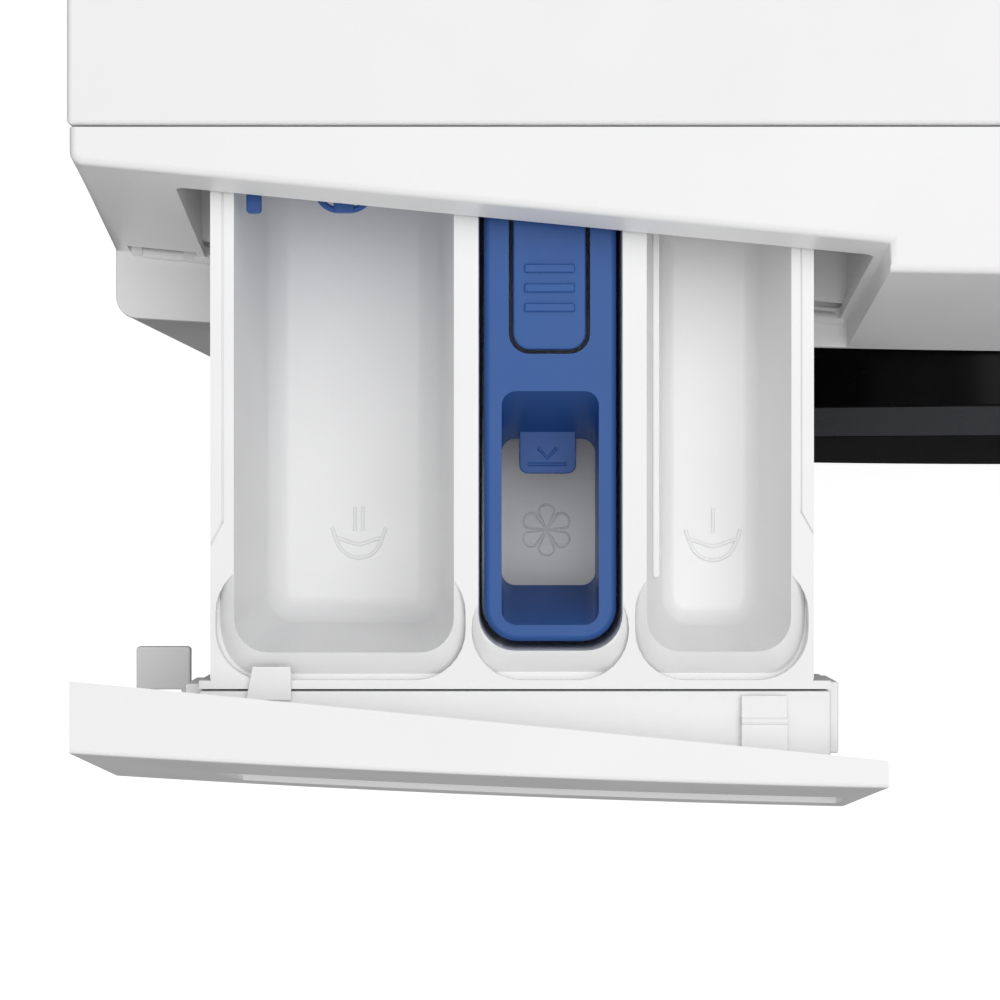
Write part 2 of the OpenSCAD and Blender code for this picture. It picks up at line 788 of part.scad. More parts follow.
module damper_cylinders() {
    color(rubber_grey) for (x = [-1, 1]) translate([x * damper_x, damper_y, base_z + 20.1])
        difference() {
            cylinder(h = 140, r = 15);
            translate([0, 0, 8]) cylinder(h = 140, r = 7 + fit_gap);
        }
}

module damper_rods() {
    color(steel) for (x = [-1, 1]) translate([x * damper_x, damper_y, 0]) {
        translate([0, 0, 70]) cylinder(h = door_z - 235.1 - 70, r = 7);
        translate([0, 0, door_z - 243]) cylinder(h = 7.8, r = 12);
    }
}

module suspension_springs() {
    turns = 8;
    wire = 2.2;
    gap = (spring_top - spring_low) / turns;
    color(steel) for (x = [-1, 1]) translate([x * spring_x, spring_y, 0]) {
        for (i = [0 : turns]) translate([0, 0, spring_low + i * gap])
            rotate_extrude() translate([12, 0]) circle(wire, $fn = 16);
        translate([0, 12, spring_low]) cylinder(h = spring_top - spring_low, r = 1.2);
    }
}

module tub_hose() {
    color(rubber_grey) translate([-190, fy + 280, door_z + 202]) difference() {
        cylinder(h = zt - 92 - door_z - 202, r = 23);
        translate([0, 0, -1]) cylinder(h = 100, r = 20.1);
    }
}

module sump_hose() {
    color(rubber_grey) translate([sump_x, sump_y, 0]) difference() {
        translate([0, 0, 120]) cylinder(h = door_z - 270 - 120, r = 27);
        translate([0, 0, door_z - 280.2]) cylinder(h = 60, r = 24.1);
        translate([0, 0, 126]) cylinder(h = 300, r = 21);
    }
}

// flat outline of the belt run around both pulleys
module belt_outline(grow) {
    hull() {
        circle(drum_pulley_r + grow, $fn = ring_fn);
        translate([motor_x, motor_z - door_z]) circle(motor_pulley_r + grow);
    }
}

module drive_belt() {
    color(gloss_black) translate([0, pulley_y + 14, door_z]) rotate([90, 0, 0])
        linear_extrude(12) difference() {
            belt_outline(3.3);
            belt_outline(0.3);
        }
}

module drum() {
    y0 = drum_fy - py;
    y1 = drum_by - py;
    t = 1.2;
    color(steel) turned([
        [160, y0 + 6], [166, y0], [drum_r - 10, y0 + 4], [drum_r, y0 + 14], [drum_r, y1 - 14], [drum_r - 14, y1],
        [0, y1], [0, y1 - t], [drum_r - 14.4, y1 - t], [drum_r - t, y1 - 14.4], [drum_r - t, y0 + 14.4],
        [drum_r - 10.5, y0 + 5.2], [166.3, y0 + 1.4], [161, y0 + 6.6]
    ]);
}

module drum_lifters() {
    inner = drum_r - 1.4;
    color(plastic_grey) intersection() {
        rod_y(0, door_z, drum_fy + 30, drum_by - 30, inner);
        for (i = [0 : 2]) translate([0, 0, door_z]) rotate([0, i * 120 + 90, 0])
            translate([0, drum_by - 32, 0]) rotate([90, 0, 0]) linear_extrude(drum_l - 64)
                polygon([[inner + 5, -28], [inner - 14, -22], [inner - 46, -9], [inner - 50, 0],
                         [inner - 46, 9], [inner - 14, 22], [inner + 5, 28]]);
    }
}

module drum_spider() {
    color(cast_grey) {
        rod_y(0, door_z, drum_by + 0.3, tub_by - 18.4, 34);
        rod_y(0, door_z, drum_by + 0.3, pulley_y + 18, shaft_r);
        for (i = [0 : 2]) translate([0, 0, door_z]) rotate([0, i * 120 + 90, 0])
            block([0, drum_by + 0.3, -14], [drum_r - 18, drum_by + 9, 14]);
    }
}

module drum_pulley() {
    color(cast_grey) {
        difference() {
            rod_y(0, door_z, pulley_y, pulley_y + 16, drum_pulley_r);
            rod_y(0, door_z, pulley_y - 1, pulley_y + 17, drum_pulley_r - 10);
        }
        difference() {
            rod_y(0, door_z, pulley_y, pulley_y + 16, 26);
            rod_y(0, door_z, pulley_y - 1, pulley_y + 17, shaft_r + eps);
        }
        for (i = [0 : 5]) translate([0, 0, door_z]) rotate([0, i * 60, 0])
            block([24, pulley_y + 4, -6], [drum_pulley_r - 9, pulley_y + 12, 6]);
    }
}

module motor_pulley() {
    color(steel) {
        rod_y(motor_x, motor_z, pulley_y, pulley_y + 16, motor_pulley_r);
        rod_y(motor_x, motor_z, tub_by - 38, pulley_y + 1, 6);
    }
}

// ---- drain

module drain_pump() {
    color(plastic_white) difference() {
        union() {
            rod_y(filter_x, filter_z, py + 6, py + 96, 29);
            rod_y(filter_x, filter_z, py + 96 - eps, py + 122, 24);
            rod_y(filter_x, filter_z, py + 122 - eps, py + 165, 27);
            block([filter_x - 20, py + 20, base_z + 5.2], [filter_x + 20, py + 150, filter_z - 20]);
            translate([sump_x, sump_y, 82]) cylinder(h = 37.9, r = 26);
            rod_x(sump_y, 100, sump_x, pipe_x, 12);
            rod_y(pipe_x, 100, pipe_y1, sump_y, 12);
            rod_x(pipe_y1, 100, pipe_x, filter_x - 5, 12);
            rod_y(filter_x - 5, 100, py + 60, pipe_y1, 12);
            for (p = [[pipe_x, sump_y], [pipe_x, pipe_y1], [filter_x - 5, pipe_y1]])
                translate([p[0], p[1], 100]) sphere(12);
        }
        rod_y(filter_x, filter_z, py, py + 92, 25.4);
        rod_y(filter_x, filter_z, py + 91, py + 118, 19);
        translate([sump_x, sump_y, 88]) cylinder(h = 60, r = 21);
    }
}

module filter_cap() {
    color(plastic_grey) {
        rod_y(filter_x, filter_z, py + 5, py + 60, 25);
        block([filter_x - 20, py + 3.6, filter_z - 3], [filter_x + 20, py + 5.1, filter_z + 3]);
    }
}

module pump_impeller() {
    color(gloss_black) {
        rod_y(filter_x, filter_z, py + 94, py + 112, 5);
        for (i = [0 : 3]) translate([filter_x, 0, filter_z]) rotate([0, i * 90, 0])
            block([0, py + 96, -1], [16, py + 110, 1]);
    }
}

module filter_flap() {
    color(enamel_white) {
        front_plate(filter_x, filter_z, 120, 78, py + 0.2, py + 2.6, 6);
        for (x = [-40, 40])
            rod_x(py + 1.4, flap_z, filter_x + x - 8, filter_x + x + 8, 1.2);
    }
}

// ---- feet

module foot(x, y) {
    color(gloss_black) translate([x, y, 0]) {
        cylinder(h = 6, r = foot_r);
        translate([0, 0, 5.9]) cylinder(h = 6, r1 = foot_r - 3, r2 = 9);
        cylinder(h = 44, r = 5);
    }
}

module foot_front_left() foot(-foot_x, foot_y[0]);

module foot_front_right() foot(foot_x, foot_y[0]);

module foot_rear_left() foot(-foot_x, foot_y[1]);

module foot_rear_right() foot(foot_x, foot_y[1]);

left_side_panel();
right_side_panel();
front_panel();
rear_panel();
rear_cover();
base_pan();
top_braces();
worktop();
control_fascia();
display_window();
control_board();
drawer_housing();
water_valve();
fill_hose();
door_lock();
hinge_bracket();
hinge_pin();
drain_pump();
mains_gland();
damper_cylinders();
tub_front();
tub_rear();
front_counterweight();
top_counterweight();
drive_motor();
drum_bearings();
wash_heater();
damper_rods();
door_gasket();
tub_hose();
sump_hose();
suspension_springs();
drive_belt();
drum();
drum_lifters();
drum_spider();
drum_pulley();
motor_pulley();
door_ring();
door_window();
door_frame();
glass_bowl();
hinge_arm();
door_handle();
door_hook();
drawer_tray();
drawer_front();
softener_insert();
release_tab();
liquid_flap();
filter_flap();
filter_cap();
pump_impeller();
program_dial();
start_button();
power_button();
foot_front_left();
foot_front_right();
foot_rear_left();
foot_rear_right();
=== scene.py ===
import json
import math

import bmesh
import bpy
from mathutils import Matrix, Vector


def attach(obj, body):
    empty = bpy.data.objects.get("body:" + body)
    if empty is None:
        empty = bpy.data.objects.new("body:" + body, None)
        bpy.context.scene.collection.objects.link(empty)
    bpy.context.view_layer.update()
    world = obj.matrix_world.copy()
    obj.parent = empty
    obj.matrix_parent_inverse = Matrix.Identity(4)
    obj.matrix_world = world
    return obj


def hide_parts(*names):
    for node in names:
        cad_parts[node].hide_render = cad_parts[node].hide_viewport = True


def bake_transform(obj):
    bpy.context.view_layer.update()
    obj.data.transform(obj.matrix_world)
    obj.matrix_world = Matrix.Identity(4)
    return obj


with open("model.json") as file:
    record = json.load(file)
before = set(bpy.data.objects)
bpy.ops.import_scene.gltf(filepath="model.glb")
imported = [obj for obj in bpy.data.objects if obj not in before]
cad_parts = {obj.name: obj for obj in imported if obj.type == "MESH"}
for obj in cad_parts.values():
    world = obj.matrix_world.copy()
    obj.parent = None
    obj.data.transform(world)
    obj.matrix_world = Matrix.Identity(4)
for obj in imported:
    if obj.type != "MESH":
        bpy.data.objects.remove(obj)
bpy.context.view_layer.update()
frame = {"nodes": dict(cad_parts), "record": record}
nodes = frame["nodes"]
print("frame loaded")

# sizes in mm, in the frame's axes
cabinet = {"half": 300, "top": 845, "fascia": 98, "bow": 9.5, "lean": 14.3, "side": 299.4,
           "drawerWidth": 200.9, "out": 126, "depth": 590, "seam": 50.5, "footGap": 3.6}
recessRight = cabinet["drawerWidth"] - cabinet["half"]
faceRadius = (cabinet["half"] ** 2 + cabinet["bow"] ** 2) / (2 * cabinet["bow"])
leanAngle = math.atan(cabinet["lean"] / cabinet["fascia"])
lip = {"turn": 5.54, "depth": 41.9}  # front wall of the recess, in degrees and mm
lipAngle = math.radians(lip["turn"])
top = cabinet["top"]
low = top - cabinet["fascia"]


def bowAt(x):
    return cabinet["bow"] * (x / cabinet["half"]) ** 2


drawerFront = cabinet["out"] - bowAt(recessRight) - cabinet["lean"] * cabinet["footGap"] / cabinet["fascia"]
fy = (drawerFront - cabinet["depth"]) / 2  # crest of the front
py = fy + cabinet["bow"]  # face of the front panel
yr = fy + cabinet["depth"] - 14  # face of the rear panel
rim = top - 18  # rim of the tray
out = cabinet["out"]
doorZ = 500

camera = {"place": (-194.3, fy - 40.45, 1601), "lens": 111.7}
light = {"key": 32, "keySize": 2.2, "fill": 14, "world": 0.42, "floorGlow": 0.5}
bpy.ops.object.camera_add(location=[c / 1000 for c in camera["place"]], rotation=(0, 0, 0))
cam = bpy.context.object
cam.data.lens = camera["lens"]
cam.data.sensor_width = 36
cam.data.clip_end = 20
bpy.context.scene.camera = cam
bpy.context.scene.view_settings.view_transform = "Standard"


def areaLight(name, place, aim, size, power):
    bpy.ops.object.light_add(type="AREA", location=place)
    lamp = bpy.context.object
    lamp.name = name
    lamp.data.size = size
    lamp.data.energy = power
    lamp.rotation_euler = (Vector(aim) - Vector(place)).to_track_quat("-Z", "Y").to_euler()
    return lamp


areaLight("overheadSoftbox", (0.2, 0.1, 3.0), (-0.1, -0.1, 0.8), light["keySize"], light["key"])
areaLight("frontFill", (-0.5, -3.0, 1.9), (0, 0, 0.5), 2.0, light["fill"])


def toLinear(colour):
    # "#RRGGBB" as scene-linear red, green, blue and one
    def channel(i):
        c = int(colour[i:i + 2], 16) / 255
        return c / 12.92 if c <= 0.04045 else ((c + 0.055) / 1.055) ** 2.4
    return (channel(1), channel(3), channel(5), 1)


def addNode(tree, kind, inputs=None, **settings):
    node = tree.nodes.new(kind)
    for key, value in settings.items():
        setattr(node, key, value)
    for key, value in (inputs or {}).items():
        if isinstance(value, bpy.types.NodeSocket):
            tree.links.new(value, node.inputs[key])
        else:
            node.inputs[key].default_value = value
    return node


def studioWorld():
    world = bpy.data.worlds.new("studio")
    bpy.context.scene.world = world
    world.use_nodes = True
    tree = world.node_tree
    seen = addNode(tree, "ShaderNodeLightPath").outputs["Is Camera Ray"]
    power = addNode(tree, "ShaderNodeMapRange", {"Value": seen, "To Min": light["world"], "To Max": 1.0})
    tree.nodes["Background"].inputs["Color"].default_value = (1, 1, 1, 1)
    tree.links.new(power.outputs["Result"], tree.nodes["Background"].inputs["Strength"])


studioWorld()


def surface(name, colour, rough, metal=0.0, grain=(0.5, 0.02), mottle=(60, 0.03), rub=(25, 0.05),
            coat=0.0, see=0.0, stretch=(1, 1, 1), shine=0.5, glow=0.0):
    # grain and mottle are (size in mm, strength); rub is (size in mm, change of roughness)
    material = bpy.data.materials.new(name)
    material.use_nodes = True
    tree = material.node_tree
    shader = tree.nodes["Principled BSDF"]
    place = addNode(tree, "ShaderNodeTexCoord").outputs["Object"]
    stretched = addNode(tree, "ShaderNodeMapping", {"Vector": place, "Scale": stretch}).outputs["Vector"]
    base = toLinear(colour)
    patches = addNode(tree, "ShaderNodeTexNoise",
                      {"Vector": stretched, "Scale": 1000 / mottle[0], "Detail": 2.0})
    spread = addNode(tree, "ShaderNodeMapRange",
                     {"Value": patches.outputs["Fac"], "From Min": 0.15, "From Max": 0.85},
                     interpolation_type="SMOOTHSTEP")
    mix = addNode(tree, "ShaderNodeMix", {"Factor": spread.outputs["Result"]}, data_type="RGBA")
    mix.inputs["A"].default_value = base
    mix.inputs["B"].default_value = tuple(c * (1 - mottle[1]) for c in base[:3]) + (1,)
    tree.links.new(mix.outputs["Result"], shader.inputs["Base Color"])
    wear = addNode(tree, "ShaderNodeTexNoise", {"Vector": place, "Scale": 1000 / rub[0], "Detail": 3.0})
    polish = addNode(tree, "ShaderNodeMapRange",
                     {"Value": wear.outputs["Fac"], "From Min": 0.15, "From Max": 0.85,
                      "To Min": max(rough - rub[1], 0.02), "To Max": rough + rub[1]},
                     interpolation_type="SMOOTHSTEP")
    tree.links.new(polish.outputs["Result"], shader.inputs["Roughness"])
    pits = addNode(tree, "ShaderNodeTexNoise",
                   {"Vector": stretched, "Scale": 1000 / grain[0], "Detail": 2.0})
    bump = addNode(tree, "ShaderNodeBump",
                   {"Height": pits.outputs["Fac"], "Distance": grain[1] / 1000, "Strength": 1.0})
    tree.links.new(bump.outputs["Normal"], shader.inputs["Normal"])
    shader.inputs["Metallic"].default_value = metal
    shader.inputs["Coat Weight"].default_value = coat
    shader.inputs["Coat Roughness"].default_value = 0.08
    shader.inputs["Transmission Weight"].default_value = see
    shader.inputs["IOR"].default_value = 1.5
    shader.inputs["Specular IOR Level"].default_value = shine
    if glow:
        shader.inputs["Emission Color"].default_value = base
        shader.inputs["Emission Strength"].default_value = glow
    return material


materials = {
    # powder-coated sheet: slight orange peel under a smooth white coat
    "enamel_white": surface("powderCoatedSteel", "#F3F3F3", 0.32, grain=(1.6, 0.012), mottle=(140, 0.012),
                            coat=0.25),
    # laminated board: flat satin white with a very fine print of the press plate
    "worktop_white": surface("laminatedBoard", "#F2F2F2", 0.42, grain=(0.8, 0.008), mottle=(160, 0.01)),
    # injection-moulded ABS with a fine spark-eroded grain
    "fascia_white": surface("mouldedAbs", "#F4F4F4", 0.4, grain=(0.6, 0.004), mottle=(90, 0.01)),
    # moulded polypropylene: waxier than the fascia, with soft highlights in the cups
    "drawer_white": surface("mouldedPolypropylene", "#F3F3F3", 0.34, grain=(0.9, 0.003),
                            mottle=(50, 0.008)),
    # blue moulded insert, slightly translucent and waxy
    "insert_blue": surface("mouldedBlueInsert", "#325C9F", 0.4, grain=(0.6, 0.010), mottle=(30, 0.05),
                           shine=0.25),
    # door ring: piano-black lacquer
    "door_black": surface("pianoBlackPlastic", "#070709", 0.14, grain=(9, 0.002), mottle=(80, 0.1),
                          rub=(40, 0.03), shine=0.08),
    # tinted pane: the darkest surface, with sharp faint reflections
    "window_tint": surface("tintedWindow", "#060709", 0.05, grain=(14, 0.001), mottle=(90, 0.1),
                           rub=(50, 0.015), shine=0.2),
    # spark-eroded grey plastic: a dull even grain that hides the parting lines
    "door_grey": surface("grainedGreyPlastic", "#8F9193", 0.48, grain=(0.5, 0.03), mottle=(60, 0.05)),
    # pressed glass: slow waves left by the press, clear to the drum behind
    "bowl_glass": surface("pressedGlass", "#F4FBFA", 0.03, grain=(18, 0.03), mottle=(60, 0.01),
                          rub=(60, 0.01), see=1.0),
    # EPDM seal with a dull moulded skin
    "rubber_grey": surface("greySealRubber", "#6F7173", 0.55, grain=(0.8, 0.03), mottle=(25, 0.12)),
    # moulded black rubber: dull, with faint cloudy bloom
    "rubber_black": surface("blackRubber", "#1B1B1C", 0.62, grain=(0.9, 0.04), mottle=(20, 0.15)),
    # stainless sheet, drawn marks along one way
    "drum_steel": surface("polishedStainless", "#C6C9CB", 0.22, metal=1.0, grain=(0.6, 0.006),
                          mottle=(40, 0.06), stretch=(1, 0.06, 1)),
    # zinc-plated steel: patches of spangle under a low shine
    "zinc_steel": surface("zincPlatedSteel", "#B4B8BB", 0.38, metal=0.9, grain=(2.5, 0.01),
                          mottle=(9, 0.14)),
    # sand-cast aluminium: pitted skin that breaks up the shine
    "cast_aluminium": surface("castAluminium", "#A9ACAE", 0.5, metal=0.9, grain=(0.9, 0.08),
                              mottle=(15, 0.12)),
    # stacked steel sheets: fine lines along the stack, oiled and dark
    "motor_steel": surface("laminatedSteel", "#6D7073", 0.42, metal=0.8, grain=(0.8, 0.04),
                           mottle=(30, 0.15), stretch=(0.05, 1, 0.05)),
    # cast concrete weight: coarse pitted grey without shine
    "weight_cast": surface("roughCasting", "#8B8780", 0.85, grain=(3.5, 0.5), mottle=(14, 0.25)),
    # glass-filled polypropylene: matt, with pale flow marks
    "tub_plastic": surface("filledPolypropylene", "#C9CBCB", 0.5, grain=(1.2, 0.05), mottle=(35, 0.06)),
    # moulded polypropylene base: matt grey with a fine grain
    "pan_grey": surface("basePolypropylene", "#9C9FA1", 0.55, grain=(1.0, 0.05), mottle=(40, 0.08)),
    # solder mask on a board: small glossy patches of green
    "board_green": surface("solderMask", "#1E6B42", 0.35, grain=(1.5, 0.02), mottle=(5, 0.25)),
    # coated display glass: black and mirror-like under the lit digits
    "display_black": surface("displayGlass", "#0D0E10", 0.05, grain=(12, 0.003), mottle=(60, 0.2),
                             rub=(30, 0.02), coat=1.0),
    # moulded black plastic: satin, with a fine grain
    "black_plastic": surface("blackMouldedPlastic", "#242526", 0.5, grain=(0.6, 0.03), mottle=(30, 0.15)),
}
# pieces whose finish has no slot of its own
printGrey = surface("screenPrintedInk", "#77797C", 0.5, grain=(0.3, 0.006), mottle=(10, 0.06))
# grey for painted light: as a dark wire it paints the shadow in the gap of the grip groove, as a band on
# the black door ring it paints the reflection caught by the chamfer
paintedShadeAndReflectionGrey = surface("paintedShadeAndReflectionGreyMaterial", "#434447", 0.3, grain=(3, 0.001), mottle=(50, 0.05), shine=0.3)
litDigit = surface("backlitSegment", "#E8F1F5", 0.4, grain=(0.5, 0.004), mottle=(20, 0.02), glow=0.8)
print("materials made")


def alone(piece):
    if bpy.context.mode != "OBJECT":
        bpy.ops.object.mode_set(mode="OBJECT")
    bpy.ops.object.select_all(action="DESELECT")
    piece.select_set(True)
    bpy.context.view_layer.objects.active = piece


def settle(piece):
    alone(piece)
    bpy.ops.object.transform_apply(location=True, rotation=True, scale=True)
    return piece


def block(name, lo, hi):
    bpy.ops.object.select_all(action="DESELECT")
    bpy.ops.mesh.primitive_cube_add(size=1, location=[(a + b) / 2000 for a, b in zip(lo, hi)])
    piece = bpy.context.object
    piece.name = name
    piece.scale = [(b - a) / 1000 for a, b in zip(lo, hi)]
    return settle(piece)


def rod(name, start, end, radius, endRadius=None, sides=48):
    a, b = Vector(start) / 1000, Vector(end) / 1000
    bpy.ops.object.select_all(action="DESELECT")
    bpy.ops.mesh.primitive_cone_add(vertices=sides, radius1=radius / 1000,
                                    radius2=(radius if endRadius is None else endRadius) / 1000,
                                    depth=(b - a).length, location=(a + b) / 2)
    piece = bpy.context.object
    piece.name = name
    piece.rotation_euler = (b - a).to_track_quat("Z", "Y").to_euler()
    return settle(piece)


def editEdges(piece, test, action):
    alone(piece)
    bpy.ops.object.mode_set(mode="EDIT")
    bpy.ops.mesh.select_mode(type="EDGE")
    bpy.ops.mesh.select_all(action="DESELECT")
    mesh = bmesh.from_edit_mesh(piece.data)
    for edge in mesh.edges:
        a, b = (v.co * 1000 for v in edge.verts)
        edge.select = bool(test(a, b))
    mesh.select_flush_mode()
    bmesh.update_edit_mesh(piece.data)
    action()
    bpy.ops.object.mode_set(mode="OBJECT")


def bevelEdges(piece, test, radius, segments=4):
    editEdges(piece, test,
              lambda: bpy.ops.mesh.bevel(offset=radius / 1000, segments=segments, affect="EDGES"))


def flatAt(axis, value):
    return lambda a, b: abs(a[axis] - value) < 0.01 and abs(b[axis] - value) < 0.01


def along(axis):
    return lambda a, b: all(abs(a[i] - b[i]) < 0.01 for i in range(3) if i != axis)


def roundBlock(name, lo, hi, radius, axis=2, topEdge=0, segments=8):
    # corners rounded along one axis, and the top edges too where asked
    piece = block(name, lo, hi)
    if radius:
        bevelEdges(piece, along(axis), radius, segments)
    if topEdge:
        bevelEdges(piece, flatAt(axis, hi[axis]), topEdge, 5)
    return piece


def combine(piece, tool, operation):
    alone(piece)
    change = piece.modifiers.new(operation.lower(), "BOOLEAN")
    change.operation = operation
    change.object = tool
    change.solver = "EXACT"
    bpy.ops.object.modifier_apply(modifier=change.name)
    bpy.data.objects.remove(tool, do_unlink=True)
    return piece


def cut(piece, *tools):
    for tool in tools:
        combine(piece, tool, "DIFFERENCE")
    return piece


def weld(piece, *tools):
    for tool in tools:
        combine(piece, tool, "UNION")
    return piece


def meet(piece, tool):
    return combine(piece, tool, "INTERSECT")


def group(piece, *others):
    alone(piece)
    for other in others:
        other.select_set(True)
    bpy.ops.object.join()
    return piece


def soften(piece, width, segments=3, angle=32):
    alone(piece)
    change = piece.modifiers.new("edges", "BEVEL")
    change.width = width / 1000
    change.segments = segments
    change.limit_method = "ANGLE"
    change.angle_limit = math.radians(angle)
    change.harden_normals = False
    change.use_clamp_overlap = True
    bpy.ops.object.modifier_apply(modifier=change.name)
    return smooth(piece)


def smooth(piece, angle=40):
    alone(piece)
    bpy.ops.object.shade_smooth_by_angle(angle=math.radians(angle))
    change = piece.modifiers.new("normals", "WEIGHTED_NORMAL")
    change.keep_sharp = True
    bpy.ops.object.modifier_apply(modifier=change.name)
    return piece


def placed(piece, turn=(0, 0, 0), shift=(0, 0, 0)):
    piece.rotation_euler = [math.radians(a) for a in turn]
    piece.location = [c / 1000 for c in shift]
    return settle(piece)


def copyOf(piece, shift=(0, 0, 0), turn=0, axis="Y", about=(0, 0, 0)):
    twin = piece.copy()
    twin.data = piece.data.copy()
    bpy.context.collection.objects.link(twin)
    centre = Vector(about) / 1000
    move = Matrix.Translation(Vector(shift) / 1000) @ Matrix.Translation(centre)
    twin.data.transform(move @ Matrix.Rotation(math.radians(turn), 4, axis) @ Matrix.Translation(-centre))
    return twin


def ringOf(piece, count, axis="Y", about=(0, 0, doorZ)):
    copies = [copyOf(piece, turn=360 * i / count, axis=axis, about=about) for i in range(1, count)]
    return group(piece, *copies)


def prismAlong(axis, name, outline, start, end):
    # outline of the two other axes in order, drawn out from start to end
    bpy.ops.object.select_all(action="DESELECT")
    bpy.ops.mesh.primitive_circle_add(vertices=len(outline), radius=1, fill_type="NGON")
    piece = bpy.context.object
    piece.name = name
    for vertex, pair in zip(piece.data.vertices, outline):
        place = list(pair)
        place.insert(axis, start)
        vertex.co = [c / 1000 for c in place]
    alone(piece)
    bpy.ops.object.mode_set(mode="EDIT")
    bpy.ops.mesh.select_all(action="SELECT")
    step = [(end - start) / 1000 if i == axis else 0 for i in range(3)]
    bpy.ops.mesh.extrude_region_move(TRANSFORM_OT_translate={"value": step})
    bpy.ops.mesh.select_all(action="SELECT")
    bpy.ops.mesh.normals_make_consistent(inside=False)
    bpy.ops.object.mode_set(mode="OBJECT")
    return settle(piece)


def prism(name, profile, x0, x1):
    return prismAlong(0, name, profile, x0, x1)


def prismZ(name, outline, z0, z1):
    return prismAlong(2, name, outline, z0, z1)


def rounded(points, radius, steps=4):
    # closed outline with its corners rolled over
    result = []
    for i, point in enumerate(points):
        before, here, after = Vector(points[i - 1]), Vector(point), Vector(points[(i + 1) % len(points)])
        a, b = before - here, after - here
        if here.x == 0 or a.angle(b) > 3.0:
            result.append(tuple(here))
            continue
        reach = min(radius / math.tan(a.angle(b) / 2), a.length * 0.45, b.length * 0.45)
        start, end = here + a.normalized() * reach, here + b.normalized() * reach
        for k in range(steps + 1):
            t = k / steps
            result.append(tuple(start * (1 - t) ** 2 + here * 2 * t * (1 - t) + end * t ** 2))
    return result


def lathe(name, profile, steps=96):
    # closed profile of (radius, height) spun about Z
    bpy.ops.object.select_all(action="DESELECT")
    bpy.ops.mesh.primitive_circle_add(vertices=len(profile), radius=1, fill_type="NOTHING",
                                      location=(0, 0, 0))
    piece = bpy.context.object
    piece.name = name
    for vertex, (radius, height) in zip(piece.data.vertices, profile):
        vertex.co = (radius / 1000, 0, height / 1000)
    alone(piece)
    bpy.ops.object.mode_set(mode="EDIT")
    bpy.ops.mesh.select_all(action="SELECT")
    bpy.ops.mesh.spin(steps=steps, angle=2 * math.pi, center=(0, 0, 0), axis=(0, 0, 1))
    bpy.ops.mesh.select_all(action="SELECT")
    bpy.ops.mesh.remove_doubles(threshold=0.00001)
    bpy.ops.mesh.delete_loose(use_verts=True, use_edges=True, use_faces=False)
    bpy.ops.mesh.select_all(action="SELECT")
    bpy.ops.mesh.normals_make_consistent(inside=False)
    bpy.ops.object.mode_set(mode="OBJECT")
    return smooth(piece, 32)


def turned(name, profile, centre=(0, 0, doorZ), steps=144):
    # profile of (radius, y) about an axis along Y
    return placed(lathe(name, profile, steps), (-90, 0, 0), centre)


def wire(name, points, radius, closed=False, sides=3):
    data = bpy.data.curves.new(name, "CURVE")
    data.dimensions = "3D"
    data.bevel_depth = radius / 1000
    data.bevel_resolution = sides
    data.use_fill_caps = True
    line = data.splines.new("POLY")
    line.points.add(len(points) - 1)
    for point, place in zip(line.points, points):
        point.co = tuple(c / 1000 for c in place) + (1,)
    line.use_cyclic_u = closed
    piece = bpy.data.objects.new(name, data)
    bpy.context.collection.objects.link(piece)
    alone(piece)
    bpy.ops.object.convert(target="MESH")
    return smooth(bpy.context.object, 60)


def arcPoints(centre, radius, start, end, count):
    return [(centre[0] + radius * math.cos(math.radians(start + (end - start) * i / count)),
             centre[1] + radius * math.sin(math.radians(start + (end - start) * i / count)))
            for i in range(count + 1)]


def dress(piece, body, slotName, *replaced, look=None):
    piece.data.materials.clear()
    piece.data.materials.append(look or materials[slotName])
    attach(piece, body)
    if replaced:
        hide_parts(*replaced)
    return piece


def faceSolid(name, back):
    # everything behind the bowed leaning face, moved back by so much
    bpy.ops.object.select_all(action="DESELECT")
    bpy.ops.mesh.primitive_cone_add(vertices=1440, radius1=faceRadius / 1000,
                                    radius2=(faceRadius - cabinet["lean"]) / 1000,
                                    depth=cabinet["fascia"] / 1000,
                                    location=(0, (fy + back + faceRadius) / 1000, (top + low) / 2000))
    bpy.context.object.name = name
    return settle(bpy.context.object)


def behindLip(back):
    piece = block("behindLip", (-60, 0, -160), (840, 500, 60))
    return placed(piece, (-math.degrees(leanAngle), 0, -lip["turn"]),
                  (-cabinet["half"], fy + lip["depth"] + back, top))


def lipY(x, z=top):
    return fy + lip["depth"] - (x + cabinet["half"]) * math.tan(lipAngle) - (top - z) * math.tan(leanAngle)


def faceY(x, z):
    return fy + bowAt(x) + cabinet["lean"] * (z - low) / cabinet["fascia"]


def onFace(piece, x, z):
    return placed(piece, (90 - math.degrees(leanAngle), 0, 0), (x, faceY(x, z), z))


def wrapFace(piece, x, z):
    # lays a flat shape, x right and y up, on the bowed leaning face
    for vertex in piece.data.vertices:
        u, v, w = vertex.co * 1000
        height = z + v * math.cos(leanAngle)
        vertex.co = ((x + u) / 1000, (faceY(x + u, height) - w) / 1000, height / 1000)
    return piece


def hang(piece, slotName, node):
    # piece held at each end by another body; it is baked in place and attached to no body
    piece.data.materials.clear()
    piece.data.materials.append(materials[slotName])
    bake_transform(piece)
    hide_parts(node)
    return piece


